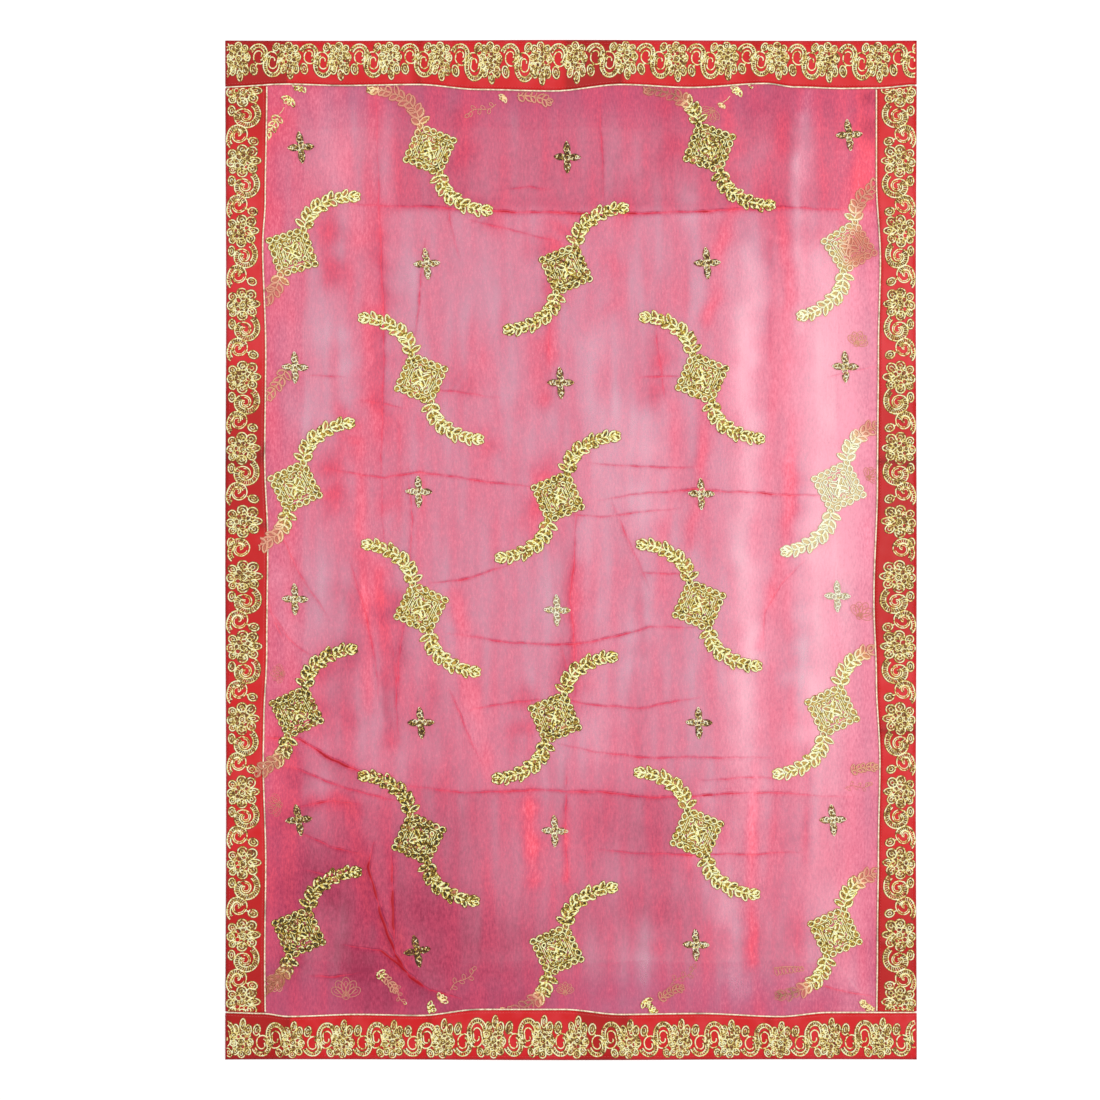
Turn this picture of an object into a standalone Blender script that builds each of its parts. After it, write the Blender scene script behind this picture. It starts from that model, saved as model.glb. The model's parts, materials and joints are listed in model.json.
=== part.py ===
"""Dupatta stole, laid flat on a table.

A sheer field cloth has its four margins turned under and mitred at the corners. Four satin bands
with corded embroidery frame it, each with a piping along its inner edge, and twenty corded
lozenges with leaf sprays and twenty small crosses are sewn on it. +X runs across the cloth, +Y
along it and +Z up. The origin is under the middle of the cloth, on the surface that it lies on.
Tables are in millimetres and everything else is in metres.
"""

import bisect
import math

import bmesh
import bpy
from mathutils import Matrix, Vector

MM = 0.001

# ---- the whole cloth
CLOTH_WIDTH = 0.940
CLOTH_LENGTH = 1.387
HALF_WIDTH = CLOTH_WIDTH / 2
HALF_LENGTH = CLOTH_LENGTH / 2
EDGE_WAVE = 0.0012
EDGE_WAVE_LENGTH = 0.68

# ---- walls and layers, from the table up: margin, field, then bands and trims
SHEER_WALL = 0.0010
BAND_WALL = 0.0012
TRIM_WALL = 0.0012
SEAM_GAP = 0.0003
FIELD_LIFT = SHEER_WALL + SEAM_GAP
BAND_LIFT = FIELD_LIFT + SHEER_WALL + SEAM_GAP

# ---- how far in from the outer edge each thing lies
FOLD_INSET = 0.0070
LIP_WIDTH = 0.0065
END_LINE = 0.630
SIDE_LINE = 0.4165
PIPING_RADIUS = 0.0010
PIPING_CLEAR = PIPING_RADIUS + SEAM_GAP
PIPING_END = HALF_WIDTH - 0.002

# ---- inner edges of the turned-under margins
MARGIN_LEFT = -0.362
MARGIN_RIGHT = 0.359
MARGIN_TOP = 0.571
MARGIN_BOTTOM = -0.558
MARGIN_RAMP = 0.022
MARGIN_WANDER = 0.004
MARGIN_WANDER_LENGTH = 0.31

# ---- grid spacings
FIELD_STEP_X = 0.0225
FIELD_STEP_Y = 0.056
MARGIN_STEPS = 14

# How far each piping leaves its straight line towards the cloth's middle: place along it, shift.
TOP_WANDER = (
    (-470, 1), (-386, -3), (-313, -1), (-209, -2.4), (-124, 4.4), (-25, 6.4), (69, -2.4),
    (162, 1.7), (264, -3.8), (305, 1), (370, 3), (416, 2.4), (470, -1.7),
)
BOTTOM_WANDER = (
    (-470, 1.7), (-420, 0.3), (-384, -3.8), (-290, -1), (-205, -2.4), (-125, 5.8), (-10, 5.8),
    (67, -1), (175, 0.3), (284, -3.8), (350, 1.7), (470, 1.7),
)
LEFT_WANDER = (
    (-694, 1.7), (-558, 0.3), (-422, 1.7), (-286, -1.7), (-238, -1), (-136, 3.1), (14, 4.4),
    (122, 0.3), (272, 1.7), (415, -2.4), (476, 1), (626, 3.1), (694, 3.1),
)
RIGHT_WANDER = (
    (-694, 1.7), (-530, 0.3), (-408, -1), (-286, -3.1), (-177, 1.7), (-68, 5.1), (95, 0.3),
    (272, -1), (394, -3.7), (503, 1.7), (626, 1.7), (694, 1.7),
)

# The largest folds, soft ridges along a straight crest: its two ends, height and half-width.
FOLDS = (
    # x0, y0, x1, y1, height, spread
    (-268, 600, -262, 40, 3.2, 17),
    (-350, 590, -326, 470, 3.0, 16),
    (-222, 130, -222, -50, 3.0, 16),
    (-226, -90, -236, -215, 3.0, 16),
    (-170, 505, -150, 390, 2.8, 16),
    (-30, 345, -26, 195, 3.0, 16),
    (4, 70, 2, -215, 3.2, 16),
    (-5, -285, -5, -450, 3.2, 16),
    (55, 75, 107, -60, 3.0, 18),
    (116, 335, 130, 195, 3.0, 16),
    (250, 590, 215, 440, 4.0, 21),
    (215, 440, 172, 40, 3.6, 21),
    (238, 440, 240, -480, 4.6, 22),
    (316, 610, 318, 300, 3.6, 17),
    (282, 210, 300, -110, 3.0, 17),
    (366, 210, 338, -150, 3.6, 30),
    (-405, 60, -330, -100, 3.4, 17),
    (-400, -252, -284, -303, 4.4, 16),
    (-275, -395, -262, -490, 6.0, 16),
    (-262, -490, -190, -600, 5.4, 16),
    (-300, 465, 400, 463, 2.2, 12),
    (-235, -326, 385, -334, 2.6, 12),
)
# Rows of the field's grid on the two long cross folds, and beside them.
CROSS_FOLD_ROWS = (484, 464, 444, -310, -330, -350)
FOLD_SUNK = 0.0003
FOLD_BLEND = 3
FOLD_FADE_START = 0.012
FOLD_FADE_WIDTH = 0.035
CALM_RADIUS = 0.044
CALM_WIDTH = 0.030

# Repeats of the bands' embroidery, a corded flower and a double scroll beside it. Each band is two
# lengths of one lace joined at the middle, so its flowers stand in two runs.
END_REPEAT = 0.0685
SIDE_REPEAT = 0.0970
FLOWERS_IN_RUN = 7
END_RUN_STARTS = (-0.4515, 0.0061)
SIDE_RUN_STARTS = (-0.6190, 0.0400)
FLOWER_RELIEF = 0.0014
SCROLL_RELIEF = 0.0009
FLOWER_HALF_ALONG = 0.24
SCROLL_OFFSET = 0.55
SCROLL_HALF_ALONG = 0.17
BAND_STEPS = 6
END_TRIM = 0.014
BAND_ROWS = (0.0, LIP_WIDTH, 0.28, 0.52, 0.78, 1.0)

# ---- the lozenge motif with a leaf spray at its top and bottom corner
LOZENGE_HALF_DIAGONAL = 0.0365
LOZENGE_TILT = math.radians(22)
LOZENGE_NECK = 0.0050
SPRAY_CURVE = ((14, 34), (14, 61), (42, 80), (80, 83))
LEAF_PAIRS = 6
LEAF_REACH = (10.5, 6.5)
LEAF_NOTCH = (6.0, 3.4)
SPRAY_TIP = 0.0018
LOZENGE_REACH = 0.013
SPRAY_REACH = 0.006
SEAM_ALLOWANCE = 0.0095

# Each lozenge's centre, its lean (1 leans right at the top, -1 left) and a further turn (degrees).
LOZENGES = (
    # name, x, y, lean, turn
    ("a1", -379, 405, 1, -5), ("a2", -375, 86, 1, 3), ("a3", -373, -220, 1, 2), ("a4", -370, -520, 1, 0),
    ("b1", -192, 544, -1, 0), ("b2", -204, 233, -1, 0), ("b3", -204, -79, -1, -3), ("b4", -207, -392, -1, -2),
    ("c1", -7, 382, 1, 0), ("c2", -18, 72, 1, 0), ("c3", -22, -228, 1, 0), ("c4", -19, -544, 1, 2),
    ("d1", 188, 547, -1, 3), ("d2", 178, 234, -1, 0), ("d3", 174, -75, -1, 0), ("d4", 171, -385, -1, 0),
    ("e1", 378, 412, 1, 9), ("e2", 364, 86, 1, 4), ("e3", 355, -218, 1, 3), ("e4", 359, -520, 1, 2),
)

# ---- the small cross of four petals
CROSS_REACH = 0.0185
CROSS_NOTCH = 0.0065
CROSS_RISE = 0.0004
CROSSES = (
    # name, x, y, turn
    ("a1", -367, 547, 5), ("a2", -375, 248, 0), ("a3", -375, -67, 0), ("a4", -370, -367, 8),
    ("b1", -196, 389, 5), ("b2", -207, 79, 0), ("b3", -204, -235, 3), ("b4", -209, -545, 10),
    ("c1", -5, 534, 0), ("c2", -14, 227, 2), ("c3", -19, -82, 0), ("c4", -22, -382, 0),
    ("d1", 185, 390, 3), ("d2", 177, 76, 0), ("d3", 174, -235, 0), ("d4", 170, -537, 0),
    ("e1", 378, 564, 5), ("e2", 373, 249, 0), ("e3", 362, -63, 0), ("e4", 356, -367, 4),
)

# ---- materials: colour, roughness, metallic
MATERIALS = {
    "sheer": ((0.72, 0.14, 0.24), 0.55, 0.0),
    "satin": ((0.76, 0.04, 0.05), 0.40, 0.0),
    "cord": ((0.72, 0.60, 0.22), 0.35, 0.7),
    "piping": ((0.85, 0.72, 0.42), 0.50, 0.3),
}


def clear_scene():
    for obj in list(bpy.data.objects):
        bpy.data.objects.remove(obj, do_unlink=True)


def make_material(name):
    colour, roughness, metallic = MATERIALS[name]
    material = bpy.data.materials.new(name)
    material.use_nodes = True
    shader = material.node_tree.nodes["Principled BSDF"]
    shader.inputs["Base Color"].default_value = (*colour, 1.0)
    shader.inputs["Roughness"].default_value = roughness
    shader.inputs["Metallic"].default_value = metallic
    return material


def smooth(t):
    """A soft ramp: 0 up to t = 0, and 1 from t = 1 on."""
    t = min(max(t, 0.0), 1.0)
    return t * t * (3.0 - 2.0 * t)


def along_table(table, place):
    """The second column of a table in millimetres at this place, eased between its rows."""
    for (before, low), (after, high) in zip(table, table[1:]):
        if place * 1000 <= after:
            break
    ease = smooth((place * 1000 - before) / (after - before))
    return (low + (high - low) * ease) * MM


def stations(fixed, step):
    """Grid lines through every fixed place, with even lines between them at most a step apart."""
    fixed = sorted(fixed)
    lines = []
    for start, end in zip(fixed, fixed[1:]):
        parts = max(1, math.ceil((end - start) / step - 0.2))
        lines += [start + (end - start) * i / parts for i in range(parts)]
    return lines + [fixed[-1]]


# ---- outlines of the cloth and lines of the pipings


def outer_edge(place, half_size):
    """Half the cloth's size at a place along the other axis: the edges are not quite straight."""
    return half_size - EDGE_WAVE / 2 * (1 - math.cos(2 * math.pi * place / EDGE_WAVE_LENGTH))


def flower_places(run_starts, repeat):
    return [start + repeat * k for start in run_starts for k in range(FLOWERS_IN_RUN)]


END_FLOWERS = flower_places(END_RUN_STARTS, END_REPEAT)
SIDE_FLOWERS = flower_places(SIDE_RUN_STARTS, SIDE_REPEAT)
LIP_END = HALF_WIDTH - LIP_WIDTH - EDGE_WAVE
TRIM_START = END_LINE - END_TRIM
END_PLACES = stations((-HALF_WIDTH, -LIP_END, *END_FLOWERS, LIP_END, HALF_WIDTH), END_REPEAT / 2)
SIDE_PLACES = stations(
    (-END_LINE, -TRIM_START, *(y for y in SIDE_FLOWERS if abs(y) < TRIM_START), TRIM_START, END_LINE),
    SIDE_REPEAT / 2,
)


def piping_line(places, table, straight, inward):
    """A function for the piping's line: straight chords between its places, as its points are."""
    shifts = [straight + inward * along_table(table, place) for place in places]

    def line(place):
        k = min(max(bisect.bisect_right(places, place) - 1, 0), len(places) - 2)
        share = (place - places[k]) / (places[k + 1] - places[k])
        return shifts[k] + (shifts[k + 1] - shifts[k]) * share

    return line


top_line = piping_line(END_PLACES, TOP_WANDER, END_LINE, -1)
bottom_line = piping_line(END_PLACES, BOTTOM_WANDER, -END_LINE, 1)
left_line = piping_line(SIDE_PLACES, LEFT_WANDER, -SIDE_LINE, 1)
right_line = piping_line(SIDE_PLACES, RIGHT_WANDER, SIDE_LINE, -1)


def band_underside(x, y):
    """The bands lie on the field, and their outer lip droops over its folded edge to the table."""
    inset = min(outer_edge(y, HALF_WIDTH) - abs(x), outer_edge(x, HALF_LENGTH) - abs(y))
    return BAND_LIFT * min(1.0, max(0.0, inset) / LIP_WIDTH)


# ---- the field's form


def distance_to_crest(x, y, crest):
    x0, y0, x1, y1 = (value * MM for value in crest)
    along = Vector((x1 - x0, y1 - y0))
    away = Vector((x - x0, y - y0))
    share = min(max(away.dot(along) / along.length_squared, 0.0), 1.0)
    return (away - along * share).length


def calm(x, y):
    """1 in the open field, falling to 0 under a lozenge, which holds the cloth flat."""
    value = 1.0
    for _, centre_x, centre_y, _, _ in LOZENGES:
        distance = math.hypot(x - centre_x * MM, y - centre_y * MM)
        value = min(value, smooth((distance - CALM_RADIUS) / CALM_WIDTH))
    return value


def fold_height(x, y):
    inside = min(SIDE_LINE - abs(x), END_LINE - abs(y))
    fade = smooth((inside - FOLD_FADE_START) / FOLD_FADE_WIDTH)
    if fade == 0.0:
        return 0.0
    total = 0.0
    for *crest, height, spread in FOLDS:
        ridge = height * MM * math.exp(-((distance_to_crest(x, y, crest) / (spread * MM)) ** 2))
        total += ridge**FOLD_BLEND
    return max(0.0, total ** (1 / FOLD_BLEND) * fade * calm(x, y) - FOLD_SUNK)


def margin_lift(x, y):
    """How far the turned-under margin raises the field."""
    past = max(MARGIN_LEFT - x, x - MARGIN_RIGHT, y - MARGIN_TOP, MARGIN_BOTTOM - y)
    return FIELD_LIFT * min(1.0, max(0.0, 1.0 + past / MARGIN_RAMP))


FIELD_COLUMNS = stations(
    (
        -HALF_WIDTH + FOLD_INSET,
        -SIDE_LINE - 0.008,
        MARGIN_LEFT,
        MARGIN_LEFT + MARGIN_RAMP,
        MARGIN_RIGHT - MARGIN_RAMP,
        MARGIN_RIGHT,
        SIDE_LINE + 0.008,
        HALF_WIDTH - FOLD_INSET,
    ),
    FIELD_STEP_X,
)
FIELD_ROWS = stations(
    (
        -HALF_LENGTH + FOLD_INSET,
        MARGIN_BOTTOM - MARGIN_RAMP,
        MARGIN_BOTTOM,
        MARGIN_BOTTOM + MARGIN_RAMP,
        *(row * MM for row in CROSS_FOLD_ROWS),
        MARGIN_TOP - MARGIN_RAMP,
        MARGIN_TOP,
        HALF_LENGTH - FOLD_INSET,
    ),
    FIELD_STEP_Y,
)
FIELD_UNDERSIDE = [[margin_lift(x, y) + fold_height(x, y) for y in FIELD_ROWS] for x in FIELD_COLUMNS]


def field_top(x, y):
    """The top of the faceted field: the higher of the two ways to split the grid's cell here."""
    i = min(max(bisect.bisect_right(FIELD_COLUMNS, x) - 1, 0), len(FIELD_COLUMNS) - 2)
    j = min(max(bisect.bisect_right(FIELD_ROWS, y) - 1, 0), len(FIELD_ROWS) - 2)
    u = (x - FIELD_COLUMNS[i]) / (FIELD_COLUMNS[i + 1] - FIELD_COLUMNS[i])
    v = (y - FIELD_ROWS[j]) / (FIELD_ROWS[j + 1] - FIELD_ROWS[j])
    low_left, high_left = FIELD_UNDERSIDE[i][j], FIELD_UNDERSIDE[i][j + 1]
    low_right, high_right = FIELD_UNDERSIDE[i + 1][j], FIELD_UNDERSIDE[i + 1][j + 1]
    if u > v:
        rising = low_left + u * (low_right - low_left) + v * (high_right - low_right)
    else:
        rising = low_left + v * (high_left - low_left) + u * (high_right - high_left)
    if u + v < 1:
        falling = low_left + u * (low_right - low_left) + v * (high_left - low_left)
    else:
        falling = high_right + (1 - u) * (high_left - high_right) + (1 - v) * (low_right - high_right)
    return max(rising, falling) + SHEER_WALL


def resting_height(x, y, reach):
    """Where a trim's underside lies: clear of the field here and all round within its reach."""
    compass = [(math.cos(math.pi * k / 4), math.sin(math.pi * k / 4)) for k in range(8)]
    around = [field_top(x + reach * c, y + reach * s) for c, s in compass]
    return max(field_top(x, y), *around) + SEAM_GAP


# ---- sheets: a grid of points is extruded up into a closed wall


def grid_sheet(name, columns, rows, place, underside, wall, material, spare=None):
    """place gives x and y for grid numbers i, j; underside and wall give heights for x, y, i, j.

    spare(i, j, is_top) says which points are left out again, so that the cells on both sides of
    their row are joined.
    """
    bm = bmesh.new()
    bmesh.ops.create_grid(bm, x_segments=columns - 1, y_segments=rows - 1, size=1.0)
    lower = {}
    for vert in bm.verts:
        i = round((vert.co.x + 1) / 2 * (columns - 1))
        j = round((vert.co.y + 1) / 2 * (rows - 1))
        lower[vert] = (i, j)
    raised = bmesh.ops.extrude_face_region(bm, geom=list(bm.faces))["geom"]
    upper = {}
    for vert in (item for item in raised if isinstance(item, bmesh.types.BMVert)):
        i = round((vert.co.x + 1) / 2 * (columns - 1))
        j = round((vert.co.y + 1) / 2 * (rows - 1))
        upper[vert] = (i, j)
    for layer, is_top in ((lower, False), (upper, True)):
        for vert, (i, j) in layer.items():
            x, y = place(i, j)
            height = underside(x, y, i, j) + (wall(x, y, i, j) if is_top else 0.0)
            vert.co = (x, y, height)
    if spare:
        row_of = {
            vert: (j, is_top)
            for layer, is_top in ((lower, False), (upper, True))
            for vert, (i, j) in layer.items()
            if spare(i, j, is_top)
        }
        edges = [e for e in bm.edges if row_of.get(e.verts[0], 0) == row_of.get(e.verts[1], 1)]
        bmesh.ops.dissolve_edges(bm, edges=edges, use_verts=True)
    bmesh.ops.recalc_face_normals(bm, faces=list(bm.faces))
    mesh = bpy.data.meshes.new(name)
    bm.to_mesh(mesh)
    bm.free()
    mesh.materials.append(material)
    PARTS.objects.link(bpy.data.objects.new(name, mesh))


def make_field(material):
    grid_sheet(
        "field",
        len(FIELD_COLUMNS),
        len(FIELD_ROWS),
        lambda i, j: (FIELD_COLUMNS[i], FIELD_ROWS[j]),
        lambda x, y, i, j: FIELD_UNDERSIDE[i][j],
        lambda x, y, i, j: SHEER_WALL,
        material,
    )


def make_margin(name, outer_ends, inner_ends, material):
    """A mitred strip between a folded outer edge and a raw inner edge that wanders a little."""
    outer_start, outer_end = (Vector(end) for end in outer_ends)
    inner_start, inner_end = (Vector(end) for end in inner_ends)
    towards_outer = (outer_start + outer_end - inner_start - inner_end).normalized()

    def place(i, j):
        share = i / MARGIN_STEPS
        if j == 0:
            return outer_start.lerp(outer_end, share)
        point = inner_start.lerp(inner_end, share)
        phase = 2 * math.pi * (inner_end - inner_start).length * share / MARGIN_WANDER_LENGTH
        return point + towards_outer * MARGIN_WANDER * math.sin(phase) ** 2

    grid_sheet(
        name,
        MARGIN_STEPS + 1,
        2,
        place,
        lambda x, y, i, j: 0.0,
        lambda x, y, i, j: SHEER_WALL,
        material,
    )


def make_margins(material):
    gap = SEAM_GAP
    fold_x, fold_y = HALF_WIDTH - FOLD_INSET, HALF_LENGTH - FOLD_INSET
    for name, fold, raw in (("left", -fold_x, MARGIN_LEFT), ("right", fold_x, MARGIN_RIGHT)):
        make_margin(
            "margin_" + name,
            ((fold, -fold_y + gap), (fold, fold_y - gap)),
            ((raw, MARGIN_BOTTOM + gap), (raw, MARGIN_TOP - gap)),
            material,
        )
    for name, fold, raw in (("top", fold_y, MARGIN_TOP), ("bottom", -fold_y, MARGIN_BOTTOM)):
        make_margin(
            "margin_" + name,
            ((-fold_x + gap, fold), (fold_x - gap, fold)),
            ((MARGIN_LEFT + gap, raw), (MARGIN_RIGHT - gap, raw)),
            material,
        )


def bump(along, half_along, across, half_across):
    """1 over the middle of a corded shape, falling to 0 a little past its outline."""
    return smooth(1.6 - 1.2 * math.hypot(along / half_along, across / half_across))


def relief(along, across, flowers, repeat):
    """Height of the embroidery over the satin, at a share across the band from its outer edge."""
    highest = 0.0
    for flower in flowers:
        for offset, share, half_along, half_across, rise in (
            (0.0, 0.46, FLOWER_HALF_ALONG, 0.42, FLOWER_RELIEF),
            (SCROLL_OFFSET, 0.46, SCROLL_HALF_ALONG, 0.40, SCROLL_RELIEF),
        ):
            away = (along - flower) / repeat - offset
            highest = max(highest, rise * bump(away, half_along, across - share, half_across))
    return highest


def make_band(name, places, line, edge, ends, flowers, repeat, to_xy, material):
    """A band from its outer edge in to its piping. ends trims its two ends at a place across."""
    lines = stations(places, repeat / BAND_STEPS)

    def along_and_across(i, j):
        outer = edge(lines[i])
        inner = abs(line(lines[i])) + PIPING_CLEAR
        inset = BAND_ROWS[j] if j < 2 else BAND_ROWS[j] * (outer - inner)
        across = outer - inset
        start, end = ends(across)
        if i in (0, len(lines) - 1):
            return (start if i == 0 else end), across
        return lines[i], across

    def place(i, j):
        return to_xy(*along_and_across(i, j))

    def wall(x, y, i, j):
        along, across = along_and_across(i, j)
        if j in (0, 1, len(BAND_ROWS) - 1) or i in (0, len(lines) - 1):
            return BAND_WALL
        width = edge(along) - abs(line(along))
        return BAND_WALL + relief(along, (edge(along) - across) / width, flowers, repeat)

    grid_sheet(
        name,
        len(lines),
        len(BAND_ROWS),
        place,
        lambda x, y, i, j: band_underside(x, y),
        wall,
        material,
        spare=lambda i, j, is_top: not is_top and 1 < j < len(BAND_ROWS) - 1,
    )


def make_bands(material):
    for name, line, side in (("top", top_line, 1), ("bottom", bottom_line, -1)):
        make_band(
            "band_" + name,
            END_PLACES,
            line,
            lambda x: outer_edge(x, HALF_LENGTH),
            lambda y: (-outer_edge(y, HALF_WIDTH), outer_edge(y, HALF_WIDTH)),
            END_FLOWERS,
            END_REPEAT,
            lambda along, across, side=side: (along, side * across),
            material,
        )
    for name, line, side in (("left", left_line, -1), ("right", right_line, 1)):
        make_band(
            "band_" + name,
            SIDE_PLACES,
            line,
            lambda y: outer_edge(y, HALF_WIDTH),
            lambda x, side=side: (bottom_line(side * x) + PIPING_CLEAR, top_line(side * x) - PIPING_CLEAR),
            SIDE_FLOWERS,
            SIDE_REPEAT,
            lambda along, across, side=side: (side * across, along),
            material,
        )


def make_piping(name, points, material):
    curve = bpy.data.curves.new(name, "CURVE")
    curve.dimensions = "3D"
    curve.bevel_depth = PIPING_RADIUS
    curve.bevel_resolution = 1
    curve.use_fill_caps = True
    spline = curve.splines.new("POLY")
    spline.points.add(len(points) - 1)
    for point, (x, y) in zip(spline.points, points):
        point.co = (x, y, band_underside(x, y) + PIPING_RADIUS, 1.0)
    curve.materials.append(material)
    PARTS.objects.link(bpy.data.objects.new(name, curve))


def make_pipings(material):
    for name, line in (("top", top_line), ("bottom", bottom_line)):
        places = [-PIPING_END, *END_PLACES[1:-1], PIPING_END]
        make_piping("piping_" + name, [(x, line(x)) for x in places], material)
    for name, line in (("left", left_line), ("right", right_line)):
        start = bottom_line(line(-END_LINE)) + PIPING_CLEAR
        end = top_line(line(END_LINE)) - PIPING_CLEAR
        places = [start, *SIDE_PLACES[1:-1], end]
        make_piping("piping_" + name, [(line(y), y) for y in places], material)


# ---- motifs: a ribbon whose width swells into leaves and the lozenge


def spray_point(t):
    """Point and direction on the spray's curve, from the lozenge's corner (0) to the tip (1)."""
    start, lift, sweep, tip = (Vector(point) * MM for point in SPRAY_CURVE)
    keep = 1 - t
    point = start * keep**3 + lift * 3 * keep**2 * t + sweep * 3 * keep * t**2 + tip * t**3
    heading = (lift - start) * keep**2 + (sweep - lift) * 2 * keep * t + (tip - sweep) * t**2
    return point, heading.normalized()


def spray_ribs():
    """Ribs of one spray from the corner out: point, direction and half-width."""
    ribs = []
    for pair in range(LEAF_PAIRS):
        for part, (near, far) in ((0.0, LEAF_NOTCH), (0.62, LEAF_REACH)):
            t = (pair + part) / LEAF_PAIRS
            ribs.append((*spray_point(t), (near + (far - near) * t) * MM))
    ribs[0] = (*ribs[0][:2], LOZENGE_NECK)
    return ribs + [(*spray_point(1.0), SPRAY_TIP)]


def rib_points(rib, centre, lean, turn):
    """A rib's left end, middle and right end on the cloth."""
    point, heading, half_width = rib
    sideways = Vector((heading.y, -heading.x)) * half_width
    points = []
    for local in (point - sideways, point, point + sideways):
        leaning = Vector((lean * local.x, local.y))
        leaning.rotate(Matrix.Rotation(math.radians(turn), 2))
        points.append(centre + leaning)
    return points


def clear_of_bands(points):
    """A spray that runs under a band is sewn into its seam, so its ribs end short of the piping."""
    return all(
        abs(point.x) < SIDE_LINE - SEAM_ALLOWANCE and abs(point.y) < END_LINE - SEAM_ALLOWANCE
        for point in points
    )


def motif_ribs(centre, lean, turn):
    """Rib points from the lower spray's tip to the upper one's, and which of them are lozenge."""
    spray = spray_ribs()
    axis = Vector((math.sin(LOZENGE_TILT), math.cos(LOZENGE_TILT)))
    middle = [
        (axis * LOZENGE_HALF_DIAGONAL * share, axis, LOZENGE_HALF_DIAGONAL * (1 - abs(share)))
        for share in (-0.5, 0.0, 0.5)
    ]
    lower = [(-point, heading, half_width) for point, heading, half_width in reversed(spray)]
    lower = [rib_points(rib, centre, lean, turn) for rib in lower]
    middle = [rib_points(rib, centre, lean, turn) for rib in middle]
    upper = [rib_points(rib, centre, lean, turn) for rib in spray]
    lower = [points for points in lower if clear_of_bands(points)]
    upper = [points for points in upper if clear_of_bands(points)]
    kinds = [False] * len(lower) + [True] * len(middle) + [False] * len(upper)
    return lower + middle + upper, kinds


def make_lozenge(name, centre_x, centre_y, lean, turn, material):
    ribs, is_lozenge = motif_ribs(Vector((centre_x, centre_y)) * MM, lean, turn)

    def underside(x, y, i, j):
        return resting_height(x, y, LOZENGE_REACH if is_lozenge[i] else SPRAY_REACH)

    grid_sheet(
        "lozenge_" + name,
        len(ribs),
        3,
        lambda i, j: ribs[i][j],
        underside,
        lambda x, y, i, j: TRIM_WALL,
        material,
        spare=lambda i, j, is_top: j == 1 and 0 < i < len(ribs) - 1 and not is_lozenge[i],
    )


def make_cross(name, centre_x, centre_y, turn, material):
    """A star of four petals, pointed across and along the cloth, a little raised in the middle."""
    bm = bmesh.new()
    bmesh.ops.create_circle(bm, cap_ends=True, cap_tris=True, segments=8, radius=CROSS_REACH)
    for vert in bm.verts:
        distance = vert.co.length
        if distance > 0:
            compass = round(math.atan2(vert.co.y, vert.co.x) / (math.pi / 4))
            heading = compass * math.pi / 4 + math.radians(turn)
            reach = CROSS_REACH if compass % 2 == 0 else CROSS_NOTCH
            vert.co = (reach * math.cos(heading), reach * math.sin(heading), 0.0)
    raised = bmesh.ops.extrude_face_region(bm, geom=list(bm.faces))["geom"]
    upper = {item for item in raised if isinstance(item, bmesh.types.BMVert)}
    for vert in bm.verts:
        x, y = centre_x * MM + vert.co.x, centre_y * MM + vert.co.y
        height = resting_height(x, y, SPRAY_REACH)
        if vert in upper:
            height += TRIM_WALL + (CROSS_RISE if vert.co.to_2d().length < CROSS_NOTCH / 2 else 0.0)
        vert.co = (x, y, height)
    bmesh.ops.recalc_face_normals(bm, faces=list(bm.faces))
    mesh = bpy.data.meshes.new("cross_" + name)
    bm.to_mesh(mesh)
    bm.free()
    mesh.materials.append(material)
    PARTS.objects.link(bpy.data.objects.new("cross_" + name, mesh))


def main():
    materials = {name: make_material(name) for name in MATERIALS}
    make_margins(materials["sheer"])
    make_field(materials["sheer"])
    make_bands(materials["satin"])
    make_pipings(materials["piping"])
    for name, x, y, lean, turn in LOZENGES:
        make_lozenge(name, x, y, lean, turn, materials["cord"])
    for name, x, y, turn in CROSSES:
        make_cross(name, x, y, turn, materials["cord"])
    for obj in PARTS.objects:
        if obj.type == "MESH":
            obj.data.shade_smooth()


clear_scene()
PARTS = bpy.data.collections.new("dupatta_stole")
bpy.context.scene.collection.children.link(PARTS)
main()
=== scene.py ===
# %% [markdown]
# # A dupatta stole, laid flat
#
# A dupatta is a long, light scarf. This one is sheer pink organza whose four margins are turned
# under. Four red satin bands frame it. They carry a lace of corded flowers and scrolls, and a
# twisted piping closes each band's inner edge. Twenty corded lozenges with leaf sprays and twenty
# small crosses are sewn on the open cloth.
#
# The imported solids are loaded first, and every piece below takes the place of one of them. X runs
# across the cloth, Y along it and Z up. The origin is on the table, under the cloth's middle.

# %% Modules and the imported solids
import json
import math

import bmesh
import bpy
import numpy as np
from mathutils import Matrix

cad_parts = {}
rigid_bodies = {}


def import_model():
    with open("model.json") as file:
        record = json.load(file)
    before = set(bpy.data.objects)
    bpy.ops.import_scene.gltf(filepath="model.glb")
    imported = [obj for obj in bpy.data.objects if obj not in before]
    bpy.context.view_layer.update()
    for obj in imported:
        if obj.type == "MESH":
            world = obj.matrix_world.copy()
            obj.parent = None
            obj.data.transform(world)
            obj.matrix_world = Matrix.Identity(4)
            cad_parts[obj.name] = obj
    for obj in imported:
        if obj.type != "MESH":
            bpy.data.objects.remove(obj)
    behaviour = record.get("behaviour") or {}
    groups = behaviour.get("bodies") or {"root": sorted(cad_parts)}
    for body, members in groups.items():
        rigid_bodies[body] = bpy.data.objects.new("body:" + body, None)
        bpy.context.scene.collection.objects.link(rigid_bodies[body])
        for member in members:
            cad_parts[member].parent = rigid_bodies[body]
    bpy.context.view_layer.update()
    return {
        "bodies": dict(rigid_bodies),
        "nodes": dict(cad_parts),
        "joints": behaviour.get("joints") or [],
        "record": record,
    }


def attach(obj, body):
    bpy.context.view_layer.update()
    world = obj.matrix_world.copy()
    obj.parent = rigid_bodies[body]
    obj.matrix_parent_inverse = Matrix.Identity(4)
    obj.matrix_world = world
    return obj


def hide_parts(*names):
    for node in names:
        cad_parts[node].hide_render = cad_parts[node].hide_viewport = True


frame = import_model()

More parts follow.
